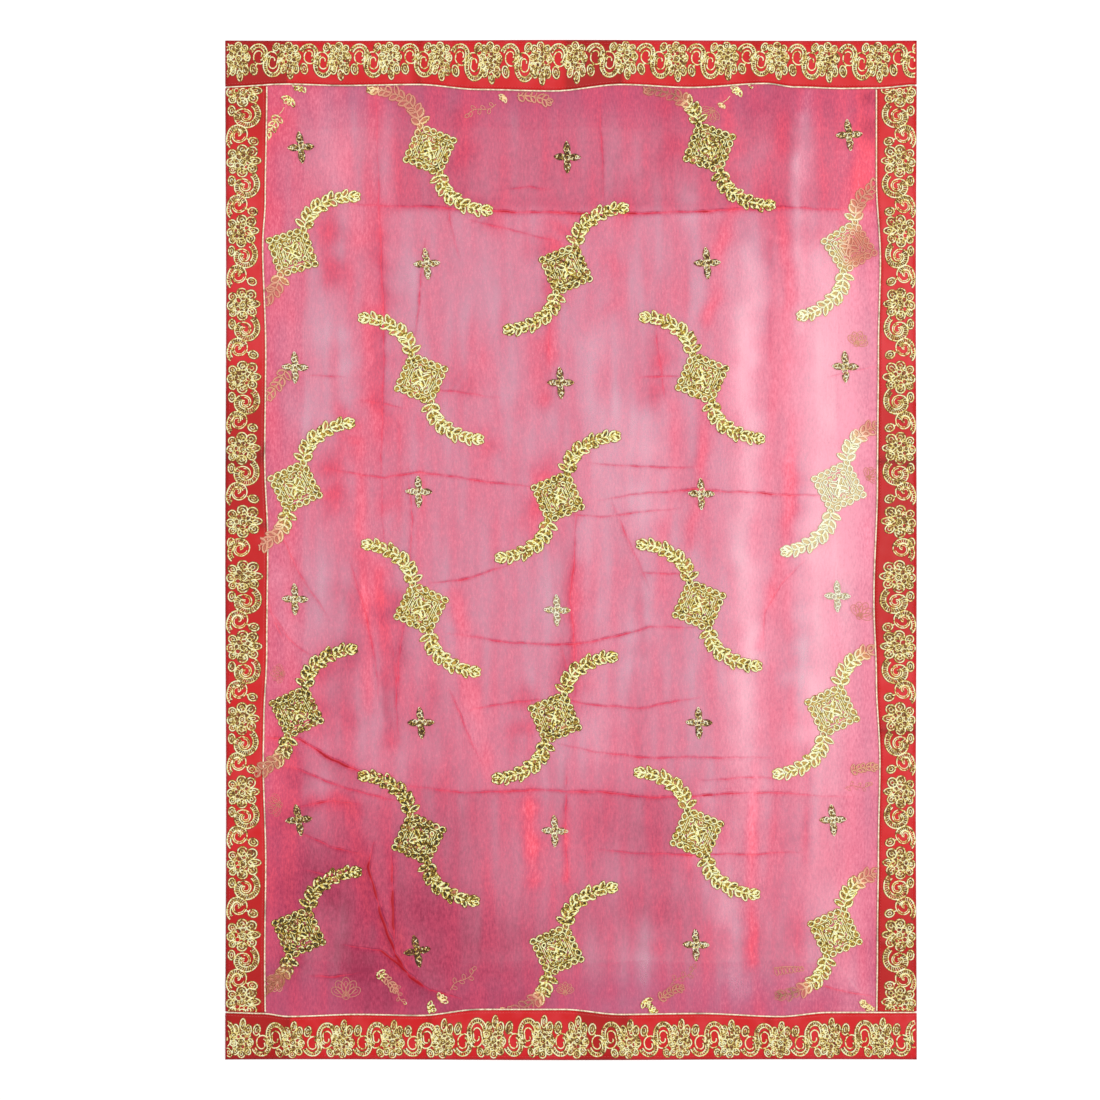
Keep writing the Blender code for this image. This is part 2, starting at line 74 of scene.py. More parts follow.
# %% [markdown]
# ## Sizes
#
# The same few sizes drive the solids, so each piece lies where its solid is. Tables are in
# millimetres, which are easy to read, and everything else is in metres, which is Blender's unit.

# %% The cloth's outline and its layers
MM = 0.001
HALF_WIDTH = 0.940 / 2
HALF_LENGTH = 1.387 / 2
EDGE_WAVE = 0.0012
EDGE_WAVE_LENGTH = 0.68

SHEER_WALL = 0.0010
BAND_WALL = 0.0012
SEAM_GAP = 0.0003
FIELD_LIFT = SHEER_WALL + SEAM_GAP
BAND_LIFT = FIELD_LIFT + SHEER_WALL + SEAM_GAP

FOLD_INSET = 0.0070
LIP_WIDTH = 0.0065
END_LINE = 0.630
SIDE_LINE = 0.4165
PIPING_RADIUS = 0.0010
PIPING_CLEAR = PIPING_RADIUS + SEAM_GAP
PIPING_END = HALF_WIDTH - 0.002

# How far out from the middle each turned-under margin's raw edge lies.
RAW_EDGE = {"left": 0.362, "right": 0.359, "top": 0.571, "bottom": 0.558}
MARGIN_RAMP = 0.022

SIGN = {"left": -1, "right": 1, "top": 1, "bottom": -1}
ENDS = ("top", "bottom")

# %% How far each piping leaves its straight line towards the cloth's middle
WANDER = {
    # place along it, shift
    "top": (
        (-470, 1), (-386, -3), (-313, -1), (-209, -2.4), (-124, 4.4), (-25, 6.4), (69, -2.4),
        (162, 1.7), (264, -3.8), (305, 1), (370, 3), (416, 2.4), (470, -1.7),
    ),
    "bottom": (
        (-470, 1.7), (-420, 0.3), (-384, -3.8), (-290, -1), (-205, -2.4), (-125, 5.8), (-10, 5.8),
        (67, -1), (175, 0.3), (284, -3.8), (350, 1.7), (470, 1.7),
    ),
    "left": (
        (-694, 1.7), (-558, 0.3), (-422, 1.7), (-286, -1.7), (-238, -1), (-136, 3.1), (14, 4.4),
        (122, 0.3), (272, 1.7), (415, -2.4), (476, 1), (626, 3.1), (694, 3.1),
    ),
    "right": (
        (-694, 1.7), (-530, 0.3), (-408, -1), (-286, -3.1), (-177, 1.7), (-68, 5.1), (95, 0.3),
        (272, -1), (394, -3.7), (503, 1.7), (626, 1.7), (694, 1.7),
    ),
}


def smooth(t):
    """A soft ramp: 0 up to t = 0, and 1 from t = 1 on."""
    t = np.clip(t, 0.0, 1.0)
    return t * t * (3.0 - 2.0 * t)


def meander(u, v, pitch, sway, turn):
    """A wave along u, whose crests sway as v goes."""
    return np.sin(u * pitch + sway * np.sin(v * turn))


def along_table(table, places):
    """The second column of a table at these places, eased between its rows."""
    rows = np.array(table) * MM
    k = np.clip(np.searchsorted(rows[:, 0], places) - 1, 0, len(rows) - 2)
    share = smooth((places - rows[k, 0]) / (rows[k + 1, 0] - rows[k, 0]))
    return rows[k, 1] + (rows[k + 1, 1] - rows[k, 1]) * share


def half_size(side):
    """How far out from the middle a side's outer edge lies, but for its waves."""
    return HALF_LENGTH if side in ENDS else HALF_WIDTH


def outer_edge(side, along):
    """The same with its waves, at places along the side."""
    return half_size(side) - EDGE_WAVE / 2 * (1 - np.cos(2 * math.pi * along / EDGE_WAVE_LENGTH))


def fold_line(side):
    return half_size(side) - FOLD_INSET


def straight_line(side):
    return END_LINE if side in ENDS else SIDE_LINE


def piping_line(side, along):
    """How far out from the middle the piping lies at places along a side."""
    return straight_line(side) - along_table(WANDER[side], along)


def on_side(side, along, out):
    """x and y of places along a side, at distances out from the middle."""
    away = SIGN[side] * out
    return (along, away) if side in ENDS else (away, along)


def outward(side, x, y):
    """How far out from the middle points lie, towards a side."""
    return SIGN[side] * (y if side in ENDS else x)


# %% [markdown]
# ## Camera, table and light
#
# The stole lies on a pale table and is seen from straight above. A long lens from far away keeps
# its edges parallel. One large soft lamp hangs over the right side, as the cloth is brightest
# there, and a dimmer one fills the left. The pale surroundings do the rest.

# %% The camera looks straight down
VIEW_WIDTH = 1.496
LENS = 85.0
SENSOR = 36.0
VIEW_SHIFT = -0.0286

scene = bpy.context.scene
camera_data = bpy.data.cameras.new("camera")
camera_data.lens = LENS
camera_data.sensor_width = SENSOR
camera = bpy.data.objects.new("camera", camera_data)
camera.location = (VIEW_SHIFT, 0.0, VIEW_WIDTH * LENS / SENSOR)
scene.collection.objects.link(camera)
scene.camera = camera
print("camera height", round(camera.location.z, 3))

# %% Table, lamps and surroundings
TABLE_HALF = 6.0
TABLE_DROP = 0.0002
LAMPS = (
    # name, x, y, z, size, watts
    ("key", 1.9, 0.35, 4.2, 2.6, 150.0),
    ("fill", -2.0, 0.9, 4.4, 3.2, 70.0),
)
SURROUND = 0.42


def add_lamp(name, x, y, z, size, watts):
    data = bpy.data.lights.new(name, "AREA")
    data.size = size
    data.energy = watts
    lamp = bpy.data.objects.new(name, data)
    lamp.location = (x, y, z)
    lamp.rotation_euler = (-lamp.location).to_track_quat("-Z", "Y").to_euler()
    scene.collection.objects.link(lamp)


for lamp_row in LAMPS:
    add_lamp(*lamp_row)
world = bpy.data.worlds.new("surround")
world.use_nodes = True
world.node_tree.nodes["Background"].inputs["Color"].default_value = (1.0, 1.0, 1.0, 1.0)
world.node_tree.nodes["Background"].inputs["Strength"].default_value = SURROUND
scene.world = world
scene.view_settings.view_transform = "Standard"
print("lamps:", [row[0] for row in LAMPS])

# %% [markdown]
# ## Node helpers
#
# A material or a Geometry Nodes tree is quicker to read as sums than as a picture of boxes. `Wire`
# wraps one socket and adds a Math node for each operator. `Graph.node` adds any other node from
# its type, its settings and what its sockets take.


# %% Wires and graphs
class Wire:
    """An output socket that takes part in Python sums."""

    def __init__(self, graph, socket):
        self.graph = graph
        self.socket = socket

    def output(self, name):
        return Wire(self.graph, self.socket.node.outputs[name])

    def math(self, operation, *values):
        return self.graph.node("ShaderNodeMath", {"operation": operation}, dict(enumerate(values)))

    def __add__(self, value):
        return self.math("ADD", self, value)

    __radd__ = __add__

    def __sub__(self, value):
        return self.math("SUBTRACT", self, value)

    def __rsub__(self, value):
        return self.math("SUBTRACT", value, self)

    def __mul__(self, value):
        return self.math("MULTIPLY", self, value)

    __rmul__ = __mul__

    def __truediv__(self, value):
        return self.math("DIVIDE", self, value)

    def __abs__(self):
        return self.math("ABSOLUTE", self)

    def clamped(self, low=0.0, high=1.0):
        return self.math("MINIMUM", self.math("MAXIMUM", self, low), high)


class Graph:
    """A node tree that grows by one call for each node."""

    def __init__(self, tree):
        self.tree = tree

    def put(self, socket, value):
        if isinstance(value, Wire):
            self.tree.links.new(value.socket, socket)
        else:
            socket.default_value = value

    def node(self, kind, settings=None, inputs=None):
        made = self.tree.nodes.new(kind)
        for name, value in (settings or {}).items():
            setattr(made, name, value)
        for name, value in (inputs or {}).items():
            self.put(made.inputs[name], value)
        return Wire(self, next(socket for socket in made.outputs if socket.enabled))

    def vector(self, operation, *values):
        return self.node("ShaderNodeVectorMath", {"operation": operation}, dict(enumerate(values)))

    def geo(self, kind, settings=None, **inputs):
        """A Geometry Nodes node, with _ for each space in a socket's name."""
        named = {name.replace("_", " "): value for name, value in inputs.items()}
        return self.node("GeometryNode" + kind, settings, named)


# %% Materials: what they share
# The Mix node's sockets when it mixes colours.
MIX_FACTOR, MIX_FROM, MIX_TO = 0, 6, 7


class Finish(Graph):
    """A material with one Principled shader, whose constant sockets are set by name."""

    def __init__(self, name, **constants):
        self.material = bpy.data.materials.new(name)
        self.material.use_nodes = True
        super().__init__(self.material.node_tree)
        self.shader = self.tree.nodes["Principled BSDF"]
        for socket, value in constants.items():
            self.put(self.shader.inputs[socket.replace("_", " ")], value)
        self.place = self.node("ShaderNodeTexCoord").output("Object")

    def set(self, socket, value):
        self.put(self.shader.inputs[socket], value)

    def attribute(self, name):
        return self.node("ShaderNodeAttribute", {"attribute_name": name}).output("Fac")

    def stretched(self, x, y, z):
        """Object coordinates, stretched by these factors."""
        return self.vector("MULTIPLY", self.place, (x, y, z))

    def noise(self, scale, detail=2.0, stretch=(1.0, 1.0, 1.0)):
        inputs = {"Vector": self.stretched(*stretch), "Scale": scale, "Detail": detail}
        return self.node("ShaderNodeTexNoise", {}, inputs).output("Fac")

    def mixed(self, first, second, factor):
        inputs = {MIX_FACTOR: factor, MIX_FROM: first, MIX_TO: second}
        return self.node("ShaderNodeMix", {"data_type": "RGBA"}, inputs)

    def bump(self, height, distance, strength=1.0):
        inputs = {"Height": height, "Distance": distance, "Strength": strength}
        self.set("Normal", self.node("ShaderNodeBump", {}, inputs))


# %% Meshes from arrays of points
def mesh_object(name, points, faces=(), edges=()):
    mesh = bpy.data.meshes.new(name)
    edges, faces = ([tuple(corners) for corners in rows] for rows in (edges, faces))
    mesh.from_pydata(np.asarray(points).tolist(), edges, faces)
    mesh.update()
    made = bpy.data.objects.new(name, mesh)
    scene.collection.objects.link(made)
    return made


def set_attribute(made, name, values):
    attribute = made.data.attributes.new(name, "FLOAT", "POINT")
    attribute.data.foreach_set("value", np.asarray(values, np.float32))


def chain(count, first=0):
    """Edges that join this many points in a row."""
    return [(k, k + 1) for k in range(first, first + count - 1)]


def grid_faces(columns, rows):
    """Quads over points that are numbered row by row within each column."""
    i, j = np.meshgrid(np.arange(columns - 1), np.arange(rows - 1), indexing="ij")
    first = (i * rows + j).ravel()
    return np.stack([first, first + rows, first + rows + 1, first + 1], axis=1)


def plain(name, made):
    """The evaluated object as a plain mesh object; the one with the modifiers is removed."""
    depsgraph = bpy.context.evaluated_depsgraph_get()
    mesh = bpy.data.meshes.new_from_object(made.evaluated_get(depsgraph))
    bpy.data.objects.remove(made)
    result = bpy.data.objects.new(name, mesh)
    mesh.name = name
    scene.collection.objects.link(result)
    return result


def finished(made, material):
    """A sheet with its normals up, its material on it and soft shading."""
    if sum(face.normal.z for face in made.data.polygons) < 0:
        made.data.flip_normals()
    made.data.materials.append(material)
    made.data.shade_smooth()
    return made


def triangles(made):
    return sum(len(face.vertices) - 2 for face in made.data.polygons)


# %% [markdown]
# ## The form of the field
#
# Organza keeps every fold it was packed with. The largest folds are long soft ridges, and the
# table below gives each one's crest, height and half-width. The same table shapes the solid. A
# lozenge holds the cloth flat, so `calm` fades the folds near each one.

# %% Where the lozenges are, and the largest folds
LOZENGES = (
    # name, x, y, lean (1 leans right at the top), turn in degrees,
    # and how much painted light (above 0) or painted shade (below 0) it gets beyond the others
    ("a1", -379, 405, 1, -5, 0.45), ("a2", -375, 86, 1, 3, 0.5), ("a3", -373, -220, 1, 2, -0.45),
    ("a4", -370, -520, 1, 0, -0.85), ("b1", -192, 544, -1, 0, 0.3), ("b2", -204, 233, -1, 0, 0.55),
    ("b3", -204, -79, -1, -3, 0.45), ("b4", -207, -392, -1, -2, -0.7), ("c1", -7, 382, 1, 0, -0.05),
    ("c2", -18, 72, 1, 0, 0.2), ("c3", -22, -228, 1, 0, -0.1), ("c4", -19, -544, 1, 2, -0.1),
    ("d1", 188, 547, -1, 3, -0.25), ("d2", 178, 234, -1, 0, 0.3), ("d3", 174, -75, -1, 0, 0.35),
    ("d4", 171, -385, -1, 0, 0.35), ("e1", 378, 412, 1, 9, 1.35), ("e2", 364, 86, 1, 4, 1.95),
    ("e3", 355, -218, 1, 3, 1.05), ("e4", 359, -520, 1, 2, 0.55),
)
FOLDS = (
    # x0, y0, x1, y1, height, spread
    (-268, 600, -262, 40, 3.2, 17), (-350, 590, -326, 470, 3.0, 16), (-222, 130, -222, -50, 3.0, 16),
    (-226, -90, -236, -215, 3.0, 16), (-170, 505, -150, 390, 2.8, 16), (-30, 345, -26, 195, 3.0, 16),
    (4, 70, 2, -215, 3.2, 16), (-5, -285, -5, -450, 3.2, 16), (55, 75, 107, -60, 3.0, 18),
    (116, 335, 130, 195, 3.0, 16), (250, 590, 215, 440, 4.0, 21), (215, 440, 172, 40, 3.6, 21),
    (238, 440, 240, -480, 4.6, 22), (316, 610, 318, 300, 3.6, 17), (282, 210, 300, -110, 3.0, 17),
    (366, 210, 338, -150, 3.6, 30), (-405, 60, -330, -100, 3.4, 17), (-400, -252, -284, -303, 4.4, 16),
    (-275, -395, -262, -490, 6.0, 16), (-262, -490, -190, -600, 5.4, 16),
    (-300, 465, 400, 463, 2.2, 12), (-235, -326, 385, -334, 2.6, 12),
)
FOLD_SUNK = 0.0003
FOLD_BLEND = 3
FOLD_FADE_START = 0.012
FOLD_FADE_WIDTH = 0.035
CALM_RADIUS = 0.044
CALM_WIDTH = 0.030
CALM_FINE = 0.15


def to_segment(x, y, x0, y0, x1, y1):
    """Distance from each point to a straight segment, and the share of the way along it."""
    dx, dy = x1 - x0, y1 - y0
    share = np.clip(((x - x0) * dx + (y - y0) * dy) / (dx * dx + dy * dy), 0.0, 1.0)
    return np.hypot(x - x0 - share * dx, y - y0 - share * dy), share


def calm(x, y):
    """1 in the open field, falling to 0 under a lozenge."""
    value = np.ones_like(x)
    for _, centre_x, centre_y, *_ in LOZENGES:
        distance = np.hypot(x - centre_x * MM, y - centre_y * MM)
        value = np.minimum(value, smooth((distance - CALM_RADIUS) / CALM_WIDTH))
    return value


def fold_height(x, y):
    inside = np.minimum(SIDE_LINE - abs(x), END_LINE - abs(y))
    total = np.zeros_like(x)
    for *ends, height, spread in FOLDS:
        distance, _ = to_segment(x, y, *(value * MM for value in ends))
        total += (height * MM * np.exp(-((distance / (spread * MM)) ** 2))) ** FOLD_BLEND
    fade = smooth((inside - FOLD_FADE_START) / FOLD_FADE_WIDTH) * calm(x, y)
    return np.maximum(0.0, total ** (1 / FOLD_BLEND) * fade - FOLD_SUNK)


def margin_lift(x, y):
    past = np.maximum.reduce([outward(side, x, y) - RAW_EDGE[side] for side in RAW_EDGE])
    return FIELD_LIFT * smooth(1.0 + past / MARGIN_RAMP)


# %% [markdown]
# ## Creases
#
# Between the large folds run fine creases, where the cloth was once pressed or has slipped. Each
# row below is one crease: how high it rises, how wide it is to each side, and the points that it
# passes. It fades at both ends and rises unevenly on the way, as a real crease does.

# %% The creases
CREASES = (
    # rise, half-width, points along it
    (1.6, 2.6, ((-300, 469), (-192, 466), (-97, 460), (39, 457), (121, 458), (284, 465),
      (416, 462))),
    (0.9, 2.2, ((-83, 490), (-56, 494), (-29, 490))),
    (0.8, 2.2, ((-137, 449), (-83, 435), (-15, 419))), (0.8, 2.4, ((-355, 238), (-307, 234))),
    (0.9, 2.2, ((94, 234), (148, 237))), (0.9, 2.4, ((352, 235), (379, 243), (416, 249))),
    (0.7, 2.4, ((-205, 220), (-158, 215), (-97, 207))), (0.8, 2.4, ((-287, 204), (-227, 193))),
    (1.2, 2.4, ((-328, 109), (-253, 98), (-205, 106), (-131, 95), (-42, 84))),
    (1.0, 2.2, ((26, 118), (94, 113), (175, 112))),
    (1.3, 2.4, ((39, 68), (107, 78), (175, 82), (271, 76), (407, 71))),
    (0.9, 2.2, ((-8, 48), (39, 45), (148, 57))), (1.1, 2.4, ((-192, -46), (-137, -38), (-83, -20))),
    (0.9, 2.2, ((94, -30), (162, -34))),
    (1.3, 2.4, ((-165, -113), (-97, -124), (-35, -129), (26, -126), (107, -105), (175, -105))),
    (1.0, 2.2, ((-137, -218), (-83, -207), (-35, -204))),
    (1.1, 2.4, ((-22, -201), (39, -212), (94, -215), (175, -200))),
    (2.1, 3.0, ((-416, -254), (-369, -258), (-328, -282), (-284, -303), (-243, -307))),
    (1.5, 2.6, ((-233, -320), (-137, -330), (-56, -326), (39, -329), (121, -337), (257, -329),
      (379, -336))),
    (1.0, 2.4, ((-15, -265), (39, -275), (94, -282), (271, -282))),
    (0.9, 2.2, ((175, -313), (237, -309), (298, -310))),
    (1.3, 2.6, ((-369, -348), (-328, -341), (-287, -345))),
    (1.3, 2.6, ((-369, -384), (-328, -403), (-287, -412))),
    (1.1, 2.4, ((39, -408), (107, -413), (175, -415), (311, -411))),
    (2.2, 3.0, ((-307, -537), (-260, -544), (-233, -564), (-192, -598), (-151, -609))),
    (1.2, 2.4, ((-355, -578), (-321, -581), (-287, -574))),
    (1.1, 2.4, ((311, -585), (366, -598), (416, -609))),
    (2.8, 3.4, ((-269, -398), (-275, -430), (-260, -488), (-238, -551), (-219, -579),
      (-185, -604))),
    (2.3, 3.2, ((-243, -413), (-243, -476), (-238, -545))),
    (0.9, 2.4, ((-265, 619), (-260, 449), (-254, 299), (-258, 109), (-254, -14))),
    (1.0, 2.4, ((-199, 422), (-204, 367), (-212, 286))),
    (0.9, 2.2, ((-222, 122), (-216, 41), (-219, -41))),
    (0.9, 2.2, ((-226, -95), (-235, -150), (-233, -204))),
    (0.3, 2.4, ((-29, 340), (-30, 272), (-26, 204))),
    (1.1, 2.6, ((8, 68), (5, 0), (-1, -68), (5, -136), (5, -204))),
    (0.9, 2.4, ((-5, -286), (-8, -367), (-5, -449))),
    (0.8, 2.4, ((-171, 503), (-165, 449), (-151, 394))),
    (0.9, 2.6, ((53, 68), (78, 14), (107, -54))), (0.9, 2.6, ((114, 326), (118, 272), (128, 204))),
    (1.0, 3.0, ((-409, 54), (-378, -14), (-355, -54), (-328, -95))),
    (1.0, 2.6, ((-420, -68), (-382, -122), (-355, -143))),
    (0.9, 2.4, ((-420, -54), (-403, -95), (-388, -129))),
    (0.9, 2.6, ((-301, -14), (-284, -68), (-268, -136), (-261, -204))),
    (0.9, 2.4, ((-243, -122), (-238, -177), (-235, -258))),
    (0.9, 2.6, ((-165, -190), (-148, -231), (-124, -286))),
    (0.8, 2.4, ((39, 619), (42, 544), (45, 476))),
    (0.8, 2.4, ((318, -14), (284, -48), (264, -82), (260, -136))),
    (1.2, 2.8, ((-416, -286), (-369, -299), (-301, -326), (-239, -340))),
    (1.1, 2.6, ((-362, -435), (-328, -443), (-292, -432))),
    (0.8, 2.4, ((-15, -122), (-7, -156), (5, -190))),
)
CREASE_WAVE = 0.034
CREASE_SLOW_WAVE = CREASE_WAVE * 2.7
CREASE_UNEVEN = 0.17
CREASE_FAR = 0.014
CREASE_END = 0.02
CREASE_SPREAD = 5.0
CREASE_WANDER = (
    # millimetres to each side, metres between turns
    (0.6, 0.083),
    (0.3, 0.029),
)


def crease_parts(x, y, points):
    """Signed distance to a crease's line, metres along it, and its whole length."""
    line = np.array(points) * MM
    lengths = np.hypot(*np.diff(line, axis=0).T)
    nearest = np.full_like(x, np.inf)
    along = np.zeros_like(x)
    for k, length in enumerate(lengths):
        (x0, y0), (x1, y1) = line[k], line[k + 1]
        distance, share = to_segment(x, y, x0, y0, x1, y1)
        side = np.sign((x - x0) * (y1 - y0) - (y - y0) * (x1 - x0))
        closer = distance < abs(nearest)
        nearest = np.where(closer, distance * side, nearest)
        along = np.where(closer, lengths[:k].sum() + share * length, along)
    return nearest, along, lengths.sum()


def crease_fields(x, y):
    """In mm at each point: how far a ridge rises, and the nearest crease's strength and distance."""
    ridges, strengths = np.zeros_like(x), np.zeros_like(x)
    sides = np.full_like(x, 2 * CREASE_SPREAD)
    for number, (rise, half_width, points) in enumerate(CREASES):
        (left, low), (right, high) = np.min(points, axis=0) * MM, np.max(points, axis=0) * MM
        near = (x > left - CREASE_FAR) & (x < right + CREASE_FAR)
        near &= (y > low - CREASE_FAR) & (y < high + CREASE_FAR)
        side, along, length = crease_parts(x[near], y[near], points)
        side = side / MM
        for shift, turn in CREASE_WANDER:
            side = side + shift * np.sin(2 * math.pi * along / turn + 1.7 * number)
        taper = np.sqrt(np.sin(math.pi * np.clip(along / length, CREASE_END, 1 - CREASE_END)))
        wave = np.sin(2 * math.pi * along / CREASE_WAVE + number)
        wave += np.sin(2 * math.pi * along / CREASE_SLOW_WAVE + 3 * number)
        uneven = 1.0 + CREASE_UNEVEN * wave
        height = rise * taper * uneven
        ridge = height * np.exp(-((side / half_width) ** 2))
        strength = height * np.exp(-((side / CREASE_SPREAD) ** 2))
        stronger = strength > strengths[near]
        sides[near] = np.where(stronger, side, sides[near])
        strengths[near] = np.maximum(strengths[near], strength)
        ridges[near] = np.maximum(ridges[near], ridge)
    return ridges, strengths, sides


RIPPLES = (
    # metres between crests, heading in degrees, height in mm
    (0.047, 8, 0.22),
    (0.071, -14, 0.30),
    (0.105, 83, 0.24),
    (0.038, 22, 0.14),
)


def ripple(x, y):
    """A faint waviness in metres, so that no stretch of cloth is quite flat."""
    total = np.zeros_like(x)
    for length, heading, height in RIPPLES:
        along = x * math.cos(math.radians(heading)) + y * math.sin(math.radians(heading))
        sway = 0.6 * np.sin(9.0 * y + 60.0 * length) + 0.5 * np.sin(13.0 * x - 90.0 * length)
        total += height * MM * (1 + np.sin(2 * math.pi * along / length + 3.0 * sway)) / 2
    return total


def cloth_height(x, y, creases=None):
    """The sheer cloth's middle surface over the table."""
    creases = crease_fields(x, y)[0] if creases is None else creases
    inside = np.minimum(SIDE_LINE - abs(x), END_LINE - abs(y))
    near_band = smooth(inside / FOLD_FADE_WIDTH)
    fine = (creases * MM + ripple(x, y)) * (CALM_FINE + (1 - CALM_FINE) * calm(x, y)) * near_band
    return margin_lift(x, y) + fold_height(x, y) + SHEER_WALL / 2 + fine


print(len(FOLDS), "folds and", len(CREASES), "creases")
